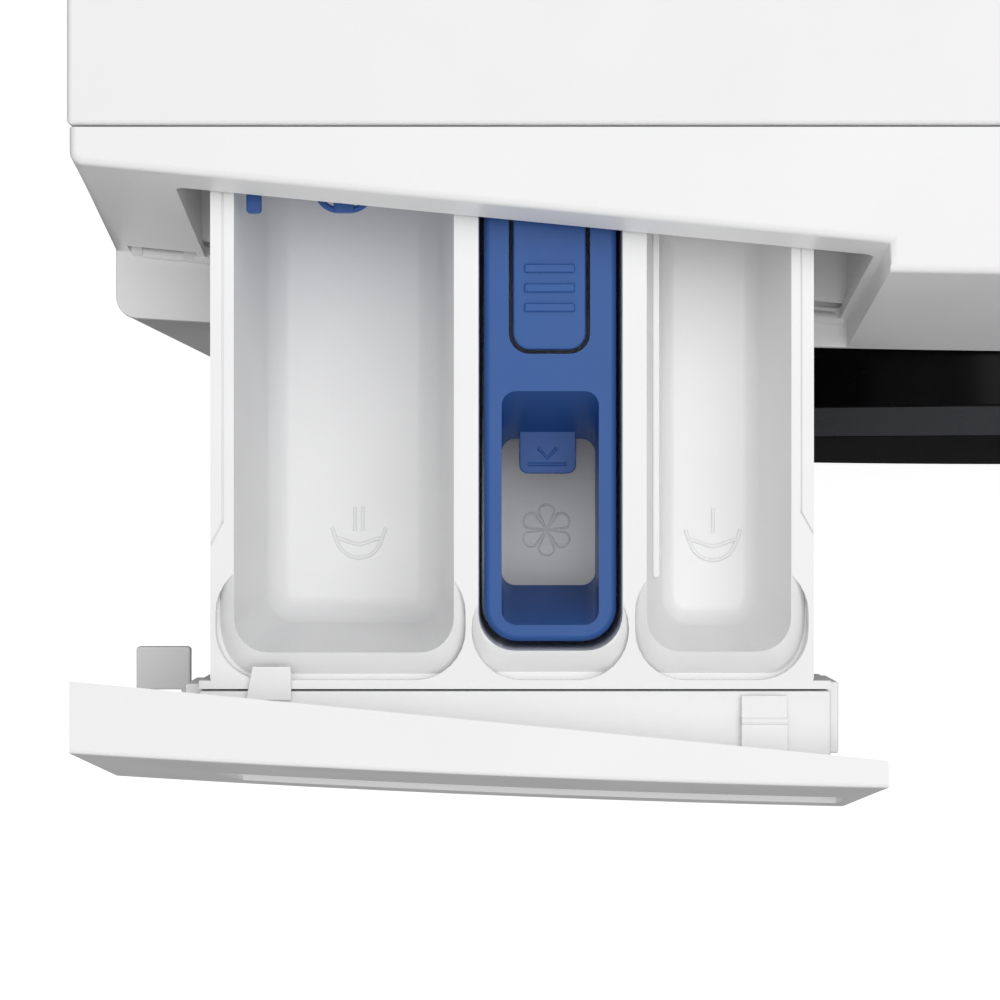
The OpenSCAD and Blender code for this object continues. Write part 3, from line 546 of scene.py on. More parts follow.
def buildFloor():
    bpy.ops.mesh.primitive_plane_add(size=12, location=(0, 0, 0))
    floor = bpy.context.object
    floor.name = "floor"
    material = surface("paleFloor", "#FFFFFF", 0.9, grain=(2, 0.01), mottle=(400, 0.005), shine=0.1)
    tree = material.node_tree
    shader = tree.nodes["Principled BSDF"]
    path = addNode(tree, "ShaderNodeLightPath")
    bounced = addNode(tree, "ShaderNodeMix", {"Factor": path.outputs["Is Glossy Ray"]}, data_type="RGBA")
    bounced.inputs["A"].default_value = (0.3, 0.3, 0.3, 1)
    bounced.inputs["B"].default_value = (0.02, 0.02, 0.02, 1)
    seen = addNode(tree, "ShaderNodeMix", {"Factor": path.outputs["Is Camera Ray"]}, data_type="RGBA")
    tree.links.new(bounced.outputs["Result"], seen.inputs["A"])
    seen.inputs["B"].default_value = (1, 1, 1, 1)
    tree.links.new(seen.outputs["Result"], shader.inputs["Base Color"])
    glow = addNode(tree, "ShaderNodeMath", {0: path.outputs["Is Camera Ray"], 1: light["floorGlow"]},
                   operation="MULTIPLY")
    shader.inputs["Emission Color"].default_value = (1, 1, 1, 1)
    tree.links.new(glow.outputs["Value"], shader.inputs["Emission Strength"])
    floor.data.materials.append(material)


buildFloor()

# opening, slot and display as left, right, foot and head
fascia = {"edge": 1.3, "opening": (-275, -101.3, 751.5, 830), "slot": (-295.7, -277.1, 751, 757.5),
          "roll": 1.9, "leftRound": 3, "bead": 1.9, "start": 262, "power": -46,
          "display": (112, 222, 773, 819)}


def buildFascia():
    seam = fy + cabinet["seam"]
    body = faceSolid("controlFascia", 0)
    bevelEdges(body, flatAt(2, top), fascia["roll"], 5)
    meet(body, block("span", (-cabinet["side"], fy - 1, low), (cabinet["side"], seam, top)))
    recess = block("recess", (-301, fy - 9, low + 3), (recessRight, seam - 1, top + 1))
    cut(recess, behindLip(0))
    cut(body, recess)
    bevelEdges(body, lambda a, b: max(a.x, b.x) < -299 and abs(a.z - b.z) > 1 and max(a.z, b.z) < low + 5
               and a.y < fy + 20, 5, 6)
    bevelEdges(body, lambda a,
               b: max(a.x, b.x) < -299 and abs(a.z - b.z) > 50 and a.y > lipY(-299.4, a.z) - 1
               and a.y < seam - 3, fascia["leftRound"], 6)

    def lipRim(a, b):
        return flatAt(2, top)(a, b) and min(a.y, b.y) < seam - 1 and max(a.x, b.x) < recessRight + 0.1

    bevelEdges(body, lipRim, fascia["roll"], 5)

    cavity = faceSolid("cavity", 3)
    meet(cavity, block("room", (recessRight + 3, fy, low + 3), (296.4, seam + 1, top - 3)))
    left = behindLip(3)
    meet(left, block("room", (-296.4, fy, low + 3), (recessRight + 3.2, seam + 1, top - 3)))
    cut(body, cavity, left)
    x0, x1, z0, z1 = fascia["opening"]
    cut(body, roundBlock("opening", (x0, fy, z0), (x1, seam + 1, z1), 2.5, axis=1, segments=4))
    x0, x1, z0, z1 = fascia["slot"]
    cut(body, block("hookSlot", (x0, fy + 5, z0), (x1, fy + 45, z1)))
    for x in (fascia["start"], fascia["power"]):
        cut(body, onFace(rod("buttonHole", (0, 0, -8), (0, 0, 8), 9.2), x, (top + low) / 2))
    cut(body, onFace(rod("dialHole", (0, 0, -8), (0, 0, 8), 3.1), 60, (top + low) / 2))
    cut(body, onFace(rod("dialWell", (0, 0, -0.8), (0, 0, 8), 26.2, sides=96), 60, (top + low) / 2))
    x0, x1, z0, z1 = fascia["display"]
    cut(body,
        roundBlock("displayCut", (x0 + 4, fy - 2, z0 + 4), (x1 - 4, fy + 30, z1 - 4), 2, axis=1,
                   segments=4))
    shallow = faceSolid("displayWell", -1)
    cut(shallow, faceSolid("displayFloor", 2.1))
    meet(shallow,
         roundBlock("displayFrame", (x0 - 0.2, fy - 2, z0 - 0.2), (x1 + 0.2, fy + 40, z1 + 0.2), 4, axis=1,
                    segments=5))
    cut(body, shallow)
    bevelEdges(body, lambda a, b: flatAt(2, low)(a, b) and max(a.y, b.y) < fy + 12, fascia["edge"], 3)
    smooth(body)
    # bead along the foot of the recess wall, with the two hooks of the slot
    z = low + cabinet["footGap"]
    start, end = [(x, lipY(x, z) + 0.4, z) for x in (-292, recessRight - 1)]
    parts = [rod("bead", start, end, fascia["bead"], sides=24)]
    for x in (-293.6, -279.4):
        hook = roundBlock("hook", (x - 1.6, lipY(x, 755) - 1.6, 750), (x + 1.6, lipY(x, 755) + 5, 752.6),
                          0.8, segments=3)
        parts.append(soften(hook, 0.4, 2))
    group(body, *parts)
    return smooth(body)


dress(buildFascia(), "cabinet", "fascia_white", "control_fascia")
print("fascia built")


def buildWorktop():
    seam = fy + cabinet["seam"] + 0.5
    body = block("worktop", (-300, seam, 815), (300, yr + 4, 845))
    bevelEdges(body, lambda a, b: along(2)(a, b) and a.y > 0, 5, 6)
    cut(body, block("under", (-288, seam - 1, 814), (288, yr - 8, 833)))
    return soften(body, 1.4, 4)


dress(buildWorktop(), "cabinet", "worktop_white", "worktop")

tray = {"left": -266.6, "right": -116.0, "front": fy - 86, "back": fy + 174, "floor": rim - 64,
        "moatDepth": 5.5}


def cupCutter(x0, x1, y0, y1, z0, radius, foot, draft):
    piece = block("cup", (x0, y0, z0), (x1, y1, rim + 1))
    bevelEdges(piece, along(2), radius, 8)
    bevelEdges(piece, flatAt(2, z0), foot, 7)
    cx, cy = (x0 + x1) / 2, (y0 + y1) / 2
    for vertex in piece.data.vertices:  # walls draw in towards the floor
        t = (rim - vertex.co.z * 1000) / (rim - z0)
        vertex.co.x = (cx + (vertex.co.x * 1000 - cx) * (1 - t * draft[0] / (x1 - x0))) / 1000
        vertex.co.y = (cy + (vertex.co.y * 1000 - cy) * (1 - t * draft[1] / (y1 - y0))) / 1000
    return piece


def shoulderPad(x0, x1, y0, y1, side, front, depth):
    # block whose top edges roll over, wider at the front than at the sides
    ratio = side / front
    cx = (x0 + x1) / 2
    w = (x1 - x0) / 2 / ratio
    piece = block("pad", (cx - w, y0, rim - depth), (cx + w, y1, rim + 0.4))
    bevelEdges(piece, along(2), 15.5, 12)
    bevelEdges(piece, flatAt(2, rim + 0.4), front * 1.75, 10)
    piece.location.x = cx / 1000 * (1 - ratio)
    piece.scale.x = ratio
    return settle(piece)


def buildTray():
    y0, y1, z0 = tray["front"], tray["back"], tray["floor"]
    body = block("drawerTray", (tray["left"], y0, z0), (tray["right"], y1, rim))
    bevelEdges(body, along(2), 1.2, 3)
    weld(body, block("flange", (-269.4, y0 - 1.6, rim - 30), (-111.8, y0 + 0.5, rim)))
    # left and right wall, front wall, floor, corner radius, foot radius, draft of the sides and ends
    cups = [(-260.7, -205.8, y0 + 7.4, z0 + 2.2, 8.7, 8, (9, 12)),
            (-199.7, -163.7, y0 + 7.9, z0 + 2.2, 9.2, 5, (3, 6)),
            (-157.7, -121.6, y0 + 7.6, z0 + 26, 8.7, 5, (12, 12))]
    # left, right, front and rear of the sunk border, width of its rolled shoulder
    moats = [(tray["left"] + 1.3, -202.9, y0 + 0.6, fy - 56, 4.2),
             (-201.4, -162.1, y0 + 0.6, fy - 60, 3.4),
             (-160.6, tray["right"] - 1.3, y0 + 0.6, fy - 56, 4.2)]
    for (cx0, cx1, cy0, cz, r, foot, draft), (mx0, mx1, my0, my1, side) in zip(cups, moats):
        trench = block("moat", (mx0, my0, rim - tray["moatDepth"]), (mx1, my1, rim + 1))
        bevelEdges(trench, along(2), 12.5, 8)
        pad = shoulderPad(cx0 - side - 0.7, cx1 + side + 0.7, cy0 - 7.0, tray["back"] + 30, side, 6.6, 40)
        cut(trench, pad)
        cut(body, trench)
    for cx0, cx1, cy0, cz, r, foot, draft in cups:
        cut(body, cupCutter(cx0, cx1, cy0, y1 - 3, cz, r, foot, draft))
    # parting groove of each side rail, running out to the side at the front
    for x, side, yEnd, yOut in ((-263.5, -1, fy - 46.2, fy - 52.5), (-119.2, 1, fy - 43.7, fy - 49.6)):
        xOut = x + side * 3.4
        cut(body, block("railGroove", (x - 0.28, yEnd, rim - 0.7), (x + 0.28, y1 + 5, rim + 1)))
        cut(body,
            prismZ("railEnd",
                   [(x - 0.28, yEnd + 0.3), (x + 0.28, yEnd + 0.3), (xOut + 0.28, yOut),
                    (xOut - 0.28, yOut)],
                         rim - 0.7, rim + 1))
    # ridge of the prewash cup
    cut(body, block("hollow", (-158, y0 + 12, z0 - 1), (-121, y1 - 4, z0 + 22)))
    soften(body, 0.45, 3, 38)
    ridge = roundBlock("ridge", (-155.4, y0 + 26, z0 + 24), (-153.9, y1 - 4, rim - 14), 0.6, segments=3)
    return group(body, smooth(ridge))


dress(buildTray(), "drawer", "drawer_white", "drawer_tray")
print("tray built")


def washSign(cx, cy, z, bars, scale=1.0):
    r = 0.5
    parts = [wire("bar", [(cx + dx, cy + 0.5 * scale, z), (cx + dx, cy + 7 * scale, z)], r) for dx in bars]
    bowl = [(cx - 7.2 * scale, cy + 1.4 * scale, z), (cx - 6.1 * scale, cy - 2 * scale, z)]
    bowl += [(x, y, z) for x, y in arcPoints((cx, cy - 0.6 * scale), 6.1 * scale, 195, 345, 20)]
    bowl += [(cx + 6.1 * scale, cy - 2 * scale, z), (cx + 7.2 * scale, cy + 1.4 * scale, z)]
    parts.append(wire("bowl", bowl, r))
    wave = [(cx - 6.2 * scale + 12.4 * scale * i / 16,
             cy - 2.2 * scale + 0.8 * scale * math.cos(i / 16 * 2 * math.pi), z) for i in range(17)]
    parts.append(wire("wave", wave, r))
    return group(*parts)


def flowerSign(cx, cy, z):
    parts = []
    for i in range(6):
        a = math.radians(60 * i + 90)
        outward, across = Vector((math.cos(a), math.sin(a), 0)), Vector((-math.sin(a), math.cos(a), 0))
        centre = Vector((cx, cy, z))
        points = [centre + outward * 0.5]
        for j in range(13):
            b = math.radians(-118 + 236 * j / 12)
            points.append(centre + outward * (5.0 + 1.75 * math.cos(b)) + across * 2.1 * math.sin(b))
        parts.append(wire("petal", [tuple(p) for p in points], 0.33, closed=True))
    return group(*parts)


mainSign = washSign(-232.3, fy - 49.3, tray["floor"] + 2.3, (-1.05, 1.05))
preSign = washSign(-138.6, fy - 49.5, tray["floor"] + 26.1, (0,))
flower = flowerSign(-181.8, fy - 48.5, tray["floor"] + 2.3)
group(mainSign, preSign, flower)
dress(mainSign, "drawer", "drawer_white")

# pocket as left, right, front and rear
insert = {"x": (-198.3, -165.1), "y": (tray["front"] + 10.1, fy + 70), "top": rim - 4, "skirt": 30,
          "pocket": (-193.9, -169.5, fy - 71.8, fy - 13.1)}


def buildInsert():
    (x0, x1), (y0, y1), z = insert["x"], insert["y"], insert["top"]
    body = block("softenerInsert", (x0, y0, z - insert["skirt"]), (x1, y1, z))
    bevelEdges(body, along(2), 8.6, 10)
    bevelEdges(body, flatAt(2, z), 1.6, 5)
    px0, px1, py0, py1 = insert["pocket"]
    inner = block("inside", (x0 + 1.6, y0 + 1.6, z - insert["skirt"] - 1), (x1 - 1.6, y1 - 1.6, z - 1.8))
    bevelEdges(inner, along(2), 7, 8)
    hopper = block("hopper", (px0 - 1.4, py0 - 1.4, z - insert["skirt"]), (px1 + 1.4, py1 + 1.4, z))
    cut(inner, hopper)
    cut(body, inner)
    well = block("well", (px0, py0, z - 31), (px1, py1, z + 0.1))
    bevelEdges(well, along(2), 3.6, 8)
    for vertex in well.data.vertices:  # end walls slope in to the window below
        if vertex.co.z * 1000 < z - 10:
            vertex.co.y += 0.0095 if vertex.co.y * 1000 < (py0 + py1) / 2 else -0.0118
    cut(body, well)
    tx0, tx1 = -192.1, -171.7
    slot = block("tabSlot", (tx0, fy - 3.8, z - 6), (tx1, fy + 62, z + 1))
    bevelEdges(slot, along(2), 5.2, 8)
    cut(body, slot)
    soften(body, 0.35, 2, 40)
    # level tongue over the window, with a plain raised level bar
    tongue = roundBlock("tongue", (-189.3, fy - 33.6, z - 27.5), (-174.6, fy - 20, z - 25.5), 2.2,
                        segments=5)
    bar = wire("levelBar", [(-187, fy - 31.2, z - 25.5), (-177, fy - 31.2, z - 25.5)], 0.45)
    arrow = wire("levelArrow",
                 [(-184.4, fy - 27, z - 25.5), (-182, fy - 29.6, z - 25.5),
                  (-179.6, fy - 27, z - 25.5)], 0.45)
    return group(body, soften(tongue, 0.4, 2), bar, arrow)


def buildTab():
    z = insert["top"]
    body = block("releaseTab", (-191.0, fy - 2.7, z - 2.4), (-172.8, fy + 48, z + 0.4))
    bevelEdges(body, lambda a, b: along(2)(a, b) and a.y < fy + 10, 4.2, 8)
    soften(body, 0.5, 3)
    ribs = []
    for y in (fy + 7.8, fy + 12.7, fy + 17.6):
        rib = roundBlock("gripRib", (-188.2, y - 1.1, z + 0.2), (-175.5, y + 1.1, z + 1.2), 0.5,
                         topEdge=0.45, segments=3)
        ribs.append(smooth(rib))
    return group(body, *ribs)


dress(buildInsert(), "drawer", "insert_blue", "softener_insert")
dress(buildTab(), "tab", "insert_blue", "release_tab")
print("insert built")

# seam gives the depth and height of the dark wire that paints the shadow of the gap in the groove
grip = {"x": (-267, -104), "seam": (3.15, 771.2),
        "profile": [(-3, 797), (0, 797), (10.5, 795.5), (11, 787), (3.2, 771), (-3, 764)], "edge": 1.1}


def gripStops():
    x0, x1 = grip["x"]
    return [x0 + (x1 - x0) * i / 5 for i in range(6)]


def buildDrawerFront():
    body = faceSolid("drawerFront", -out)
    bevelEdges(body, flatAt(2, top), grip["edge"], 4)
    meet(body,
         block("span", (-299.3, fy - out - 1, low + cabinet["footGap"]),
               (recessRight - 0.4, fy - out + 60, top)))
    tool = behindLip(-0.4 - out)
    cut(body, tool)
    relief = behindLip(-2.4 - out)  # clears the bead and the hooks of the recess
    meet(relief, block("span", (-301, fy - out - 20, low), (recessRight + 1, fy - out + 60, 754)))
    cut(body, relief)
    right = recessRight - 0.4
    bevelEdges(body, lambda a, b: flatAt(0, right)(a, b) and abs(a.z - b.z) > 40, grip["edge"], 4)
    # grip groove in spans that follow the bow, its floor sloping out to the lower lip
    stops = gripStops()
    for x0, x1 in zip(stops, stops[1:]):
        groove = prism("groove", grip["profile"], x0 - 0.3, x1)
        for vertex in groove.data.vertices:
            x, depth, z = vertex.co * 1000
            if x < grip["x"][0] + 1 and z < 790:  # ends at a slant at the left
                vertex.co.x += 0.004
            vertex.co.y = (faceY(x, z) - out + depth) / 1000
        cut(body, groove)
    return soften(body, grip["edge"], 3, 30)


def buildGripShadowLine():
    # dark wire along the lower lip of the groove: painted shadow of the gap there
    depth, z = grip["seam"]
    points = [(x, faceY(x, z) - out + depth, z) for x in [grip["x"][0] + 5] + gripStops()[1:]]
    return wire("gripShadowLine", points, 0.28)


def buildBacking():
    y1 = tray["front"] - 1.6 - 0.5
    plate = behindLip(-0.5 - out)
    meet(plate, block("room", (-269.4, fy - out, 765), (-111.8, y1, rim - 0.3)))
    soften(plate, 0.5, 2)
    parts = []
    for x0, x1, ya, yb in ((-273.5, -269.2, y1 - 4, y1 + 1.5), (-112.2, -109.2, y1 - 16, y1 + 2)):
        parts.append(soften(block("sideTab", (x0, ya, rim - 34), (x1, yb, rim - 6)), 0.5, 2))
    # snap hooks that reach over the flange of the tray
    left = prismZ("snapHook",
                  [(-257.6, y1 - 2.2), (-246.3, y1 - 2.2), (-246.3, y1 + 6.2),
                   (-255.9, y1 + 6.2)], rim + 0.45, rim + 2.4)
    right = block("snapHook", (-134.2, y1 - 16.4, rim + 0.45), (-122.7, y1 - 1.0, rim + 1.8))
    ridge = rod("hookRidge", (-134.2, y1 - 7.4, rim + 1.3), (-122.7, y1 - 7.4, rim + 1.3), 1.1, sides=24)
    for vertex in left.data.vertices:  # the left hook falls towards its tip
        if vertex.co.z * 1000 > rim + 1 and vertex.co.y * 1000 < y1:
            vertex.co.z -= 0.0009
    parts += [soften(left, 0.25, 2), soften(right, 0.25, 2), smooth(ridge)]
    # hook plate that enters the slot under the fascia when the drawer shuts
    shelf = roundBlock("hookPlate", (-293.2, fy - 92, 753), (-278.7, fy - 80.3, 757.2), 0.8, segments=3)
    web = block("hookWeb", (-281, fy - 96, 753.4), (-278.5, fy - 80.6, 757))
    parts += [soften(shelf, 0.5, 2), soften(web, 0.4, 2)]
    return group(plate, *parts)


frontPiece = buildDrawerFront()
group(frontPiece, buildBacking())
dress(frontPiece, "drawer", "fascia_white", "drawer_front")
# dark wire in the grip groove: painted shadow
dress(buildGripShadowLine(), "drawer", "fascia_white", look=paintedShadeAndReflectionGrey)
print("drawer front built")

door = {"radius": 245, "side": -23.6, "face": -31.9, "dome": 5, "handleLeft": 214, "handleHalf": 48,
        "hinge": (-238, -18), "pane": 227.6, "grip": (216, -29.95)}


def fromPanel(points, reach):
    return [(r, py + d) for r, d in rounded(points, reach)]


def handleZone(grow):
    return block("zone", (door["handleLeft"] - grow, py - 60, doorZ - door["handleHalf"] - grow),
                 (door["handleLeft"] + 60, py + 5, doorZ + door["handleHalf"] + grow))


def hingeRelief(back=0):
    x, y = door["hinge"][0], py + door["hinge"][1] + back
    pin = rod("relief", (x, y, doorZ - 44), (x, y, doorZ + 44), 8, sides=40)
    return weld(pin, block("reliefBox", (x - 20, y - 8, doorZ - 44), (x + 8, py + 5, doorZ + 44)))


# thin shell just in front of the black door ring's chamfer, coloured lighter grey as a painted reflection
# on the sloped face
def chamferBand():
    r, side, face = door["radius"], door["side"], door["face"]
    outline = [(r - 0.2, side - 0.35), (r - 11.5, face + 0.22), (r - 12.2, face + 0.75),
               (r - 0.9, side + 0.2)]
    return turned("chamferBand", [(a, py + d) for a, d in outline])


def buildDoorRing():
    r, side, face = door["radius"], door["side"], door["face"]
    outline = [(r, -2), (r, side), (r - 12, face), (r - 17, face), (r - 17, face + 4), (r - 34, face + 4),
               (r - 34, face + 7), (r - 14, face + 7), (r - 4, side + 2), (r - 4, -2)]
    return cut(turned("doorRing", fromPanel(outline, 0.8)), hingeRelief(), handleZone(0.8))


def buildPane():
    r, face, dome = door["pane"], door["face"], door["dome"]
    front = [(r * t, face - dome * (1 - t * t)) for t in [1 - i / 28 for i in range(29)]]
    back = [(r * t, face + 3.6 - dome * (1 - t * t)) for t in [i / 28 for i in range(29)]]
    edge = [(r, face + 3.2), (r, face + 0.5), (r - 0.4, face)]
    pane = turned("tintedPane", [(a, py + d) for a, d in edge + front[1:] + back[:-1]])
    return cut(pane, handleZone(0.8))


def buildHandle():
    r, side, face = door["radius"], door["side"], door["face"]
    x0, half = door["handleLeft"] + 2, door["handleHalf"] - 1.5
    outline = [(r - 0.4, side + 6), (r - 0.4, side - 0.3), (r - 12.4, face - 0.1), (150, face - 0.1),
               (150, face + 4),
               (r - 14, face + 4), (r - 4.4, side + 2), (r - 4.4, side + 6)]
    grip = meet(turned("doorHandle", fromPanel(outline, 0.8)),
                block("span", (x0, py - 60, doorZ - half), (x0 + 60, py + 5, doorZ + half)))
    barrel = rod("barrel", (door["grip"][0], py + door["grip"][1], doorZ - half - 1.6),
                 (door["grip"][0], py + door["grip"][1], doorZ + half + 1.6), 1.95, sides=32)
    return group(soften(grip, 0.5, 2), smooth(barrel))


def screwHead(radius=3.6):
    head = lathe("screw",
                 rounded([(0, 0), (radius, 0), (radius, 1.2), (radius * 0.7, 2.1), (0, 2.3)], 0.4), 32)
    cut(head, block("slotA", (-radius * 0.6, -0.45, 1.2), (radius * 0.6, 0.45, 3)))
    return smooth(cut(head, block("slotB", (-0.45, -radius * 0.6, 1.2), (0.45, radius * 0.6, 3))))


def buildDoorFrame():
    outline = [(176, -22), (176, -3), (238, -3), (238, -6), (200, -6), (200, -18), (208, -18), (208, -22)]
    body = turned("doorFrame", fromPanel(outline, 1.2))
    hook = block("hookRoom", (183, py - 20, doorZ - 20), (257, py + 5, doorZ + 20))
    arm = block("armRoom", (door["hinge"][0] - 1, py - 20.4, doorZ - 61),
                (door["hinge"][0] + 43, py - 15.6, doorZ + 61))
    cut(body, hingeRelief(-0.5), arm, hook, handleZone(1))
    step = turned("step",
                  [(r, py + d) for r, d in [(186, -3.2), (190, -3.2), (189.2, -2.2), (186.8, -2.2)]])
    return cut(body, step)


def buildFrameScrews():
    screw = placed(screwHead(), (-90, 0, 0), (0, py - 3.1, doorZ + 216))
    screw = copyOf(screw, turn=22.5, about=(0, 0, doorZ))
    bpy.data.objects.remove(bpy.data.objects["screw"], do_unlink=True)
    return ringOf(screw, 8)


def buildBowl():
    outline = [(174, -9), (174, -4), (150, -4), (146, 2), (128, 84), (116, 92), (0, 96), (0, 91),
               (113.5, 87),
               (123.5, 80), (141, 0), (146, -9)]
    return turned("glassBowl", fromPanel(outline, 5))


def buildGasket():
    outline = [(163.5, -1), (166, -1.5), (167.6, 1), (167.6, 14), (160, 16), (157, 22), (163, 28),
               (176, 30),
               (178, 36), (162, 40), (160, 50), (166, 54), (172, 60), (172, 69.7), (168, 69.7), (168, 60),
               (158, 55), (155, 46), (156, 38), (168, 33), (158, 30), (152, 22), (152, 14), (160, 10)]
    gasket = turned("doorGasket", fromPanel(outline, 2.2))
    rib = rod("drainRib", (152.6, py + 14, doorZ), (152.6, py + 22, doorZ), 1.1, sides=16)
    return group(gasket, ringOf(rib, 36))


def buildHook():
    x, y = 197, py - 8
    body = rod("doorHook", (x, y, doorZ - 10), (x, y, doorZ + 10), 4, sides=40)
    weld(body, block("stem", (x - 3, y, doorZ - 8), (x + 3, py + 20, doorZ + 8)))
    weld(body,
         prismZ("nose",
                [(x - 3, py + 15), (x + 7.4, py + 15), (x + 9, py + 16.4), (x + 5, py + 20),
                 (x - 3, py + 20)],
                      doorZ - 8, doorZ + 8))
    return soften(body, 0.6, 3)


band = chamferBand()
handleBand = meet(copyOf(band), block("span", (216, py - 60, doorZ - 46.5), (276, py + 5, doorZ + 46.5)))
cut(band, handleZone(0.8), hingeRelief())
dress(buildDoorRing(), "door", "door_black", "door_ring")
# lighter grey shell over the black chamfer: painted reflection
dress(smooth(band), "door", "door_black", look=paintedShadeAndReflectionGrey)
dress(buildPane(), "door", "window_tint", "door_window")
dress(buildHandle(), "handle", "door_black", "door_handle")
# lighter grey shell over the handle's black chamfer: painted reflection
dress(smooth(handleBand), "handle", "door_black", look=paintedShadeAndReflectionGrey)
dress(buildDoorFrame(), "door", "door_grey", "door_frame")
dress(buildFrameScrews(), "door", "zinc_steel")
dress(buildBowl(), "door", "bowl_glass", "glass_bowl")
dress(buildHook(), "hook", "zinc_steel", "door_hook")
hang(buildGasket(), "rubber_grey", "door_gasket")
print("door built")

panel = {"corner": 6, "sheet": 1.5, "flap": (154, 276, 42, 122), "porthole": 168}


def buildFrontPanel():
    x0, x1, z0, z1 = panel["flap"]
    body = block("frontPanel", (-300, py, 20), (300, py + 40, low))
    bevelEdges(body, lambda a, b: along(2)(a, b) and a.y < py + 1, panel["corner"], 6)
    inner = block("inside", (-298.5, py + 1.5, 19), (298.5, py + 50, low - 1.5))
    bevelEdges(inner, lambda a, b: along(2)(a, b) and a.y < py + 2, panel["corner"] - 1.5, 6)
    cut(body, inner, block("behind", (-301, py + 20, 19), (301, py + 50, low + 1)))
    cut(body, rod("porthole", (0, py - 2, doorZ), (0, py + 5, doorZ), panel["porthole"], sides=180))
    cut(body, roundBlock("flapHole", (x0, py - 2, z0), (x1, py + 3, z1), 4, axis=1))
    cut(body, block("catchHole", (186, py - 1, doorZ - 20), (208, py + 3, doorZ + 20)))
    soften(body, 0.5, 2)
    flange = turned("flange", fromPanel([(168, 0), (169.5, 0), (169.5, 12), (168, 12)], 0.4))
    return group(body, flange)


def buildSidePanel(side):
    x1 = side * 300
    x0 = side * 298.5
    lo, hi = min(x0, x1), max(x0, x1)
    rear = fy + cabinet["seam"] + 0.6
    outline = [(py + 21, 20), (yr, 20), (yr, top - 30), (rear, top - 30), (rear, low - 0.4),
               (py + 21, low - 0.4)]
    body = prism("sidePanel", outline, lo, hi)
    fold = block("rearFold", (min(side * 284, x1), yr - 1.5, 20), (max(side * 284, x1), yr, top - 30))
    foot = block("footFold", (min(side * 282, x1), py + 21, 20), (max(side * 282, x1), yr, 21.5))
    head = block("topFold", (min(side * 286, x1), rear, top - 31.5), (max(side * 286, x1), yr, top - 30))
    weld(body, fold, foot, head)
    # pressed field that stiffens the sheet
    tool = block("pressing", (min(x1 - side * 0.8, x1 + side), py + 90, 130),
                 (max(x1 - side * 0.8, x1 + side), yr - 70, 690))
    bevelEdges(tool, along(0), 46, 12)
    cut(body, tool)
    return soften(body, 0.5, 3)


def buildRearPanel():
    y0 = yr - 1.5
    body = block("rearPanel", (-283, y0, 50), (283, yr, top - 30.5))
    cut(body, roundBlock("coverHole", (-175, y0 - 1, 250), (175, yr + 1, 690), 60, axis=1))
    for x, z, r in ((-210, 305, 12), (210, 305, 12), (-210, 635, 12), (210, 635, 12), (-210, top - 60, 16),
                    (235, 770, 9.1), (-250, 90, 17)):
        cut(body, rod("hole", (x, y0 - 1, z), (x, yr + 1, z), r, sides=48))
    slits = [roundBlock("vent", (x - 24, y0 - 1, z), (x + 24, yr + 1, z + 3.2), 1.5, axis=1, segments=3)
             for x in (90, 160) for z in range(730, 790, 9)]
    slits += [roundBlock("vent", (x - 24, y0 - 1, z), (x + 24, yr + 1, z + 3.2), 1.5, axis=1, segments=3)
              for x in (-110, -40, 30, 100) for z in range(100, 150, 9)]
    cut(body, group(*slits))
    return soften(body, 0.3, 2)


def buildRearCover():
    y0 = yr + 0.2
    body = roundBlock("rearCover", (-192, y0, 233), (192, y0 + 1.5, 707), 70, axis=1, segments=14)
    dish = roundBlock("dish", (-152, y0, 273), (152, yr + 14, 667), 52, axis=1, topEdge=6, segments=14)
    weld(body, dish)
    cut(body,
        roundBlock("hollow", (-150.5, yr - 1, 274.5), (150.5, yr + 12.5, 665.5), 50, axis=1, topEdge=5,
                   segments=14))
    ribs = [roundBlock("rib", (-100, yr + 12.6, z), (100, yr + 16, z + 10), 4, axis=1,
                       segments=5) for z in (380, 430, 500, 550)]
    cut(body, *[placed(rib, shift=(0, 0.6, 0)) for rib in ribs])
    return soften(body, 0.5, 3)


def buildRearScrews():
    spots = [(x, z) for x in (-176, 176) for z in (320, 470, 620)]
    spots += [(x, z) for x in (-90, 90) for z in (248, 692)]
    screws = [placed(screwHead(4.2), (-90, 0, 0), (x, yr + 1.6, z)) for x, z in spots]
    edge = [(x, z) for x in (-274, 274) for z in (90, 300, 520, 740)]
    screws += [placed(screwHead(4.2), (-90, 0, 0), (x, yr - 0.1, z)) for x, z in edge]
    return group(*screws)


def buildFilterFlap():
    body = roundBlock("filterFlap", (155, py + 0.2, 43), (275, py + 2.6, 121), 6, axis=1, segments=8)
    notch = rod("notch", (215, py - 10.4, 119), (215, py + 1.1, 125), 9, sides=48)
    cut(body, notch)
    soften(body, 0.45, 3)
    pins = [rod("pin", (x - 8, py + 1.4, 44), (x + 8, py + 1.4, 44), 1.2, sides=20) for x in (175, 255)]
    return group(body, *[smooth(pin) for pin in pins])


def buildFilterCap():
    body = rod("filterCap", (215, py + 5, 82), (215, py + 60, 82), 25, sides=96)
    bevelEdges(body, flatAt(1, py + 5), 1.5, 4)
    bar = roundBlock("bar", (195, py + 3.6, 79), (235, py + 8, 85), 2.5, axis=1, segments=5)
    weld(body, bar)
    return soften(body, 0.4, 2)


dress(buildFrontPanel(), "cabinet", "enamel_white", "front_panel")
dress(buildSidePanel(-1), "cabinet", "enamel_white", "left_side_panel")
dress(buildSidePanel(1), "cabinet", "enamel_white", "right_side_panel")
dress(buildRearPanel(), "cabinet", "enamel_white", "rear_panel")
dress(buildRearCover(), "cabinet", "enamel_white", "rear_cover")
dress(buildRearScrews(), "cabinet", "zinc_steel")
dress(buildFilterFlap(), "filter_door", "fascia_white", "filter_flap")
dress(buildFilterCap(), "filter", "pan_grey", "filter_cap")
print("cabinet built")

controls = {"dial": (60, 24), "knobTop": 18, "ribs": 44, "marks": 16, "markRing": (29.5, 33), "button": 9,
            "digits": "1:28", "digit": (9, 16, 1.7)}
middleZ = (top + low) / 2


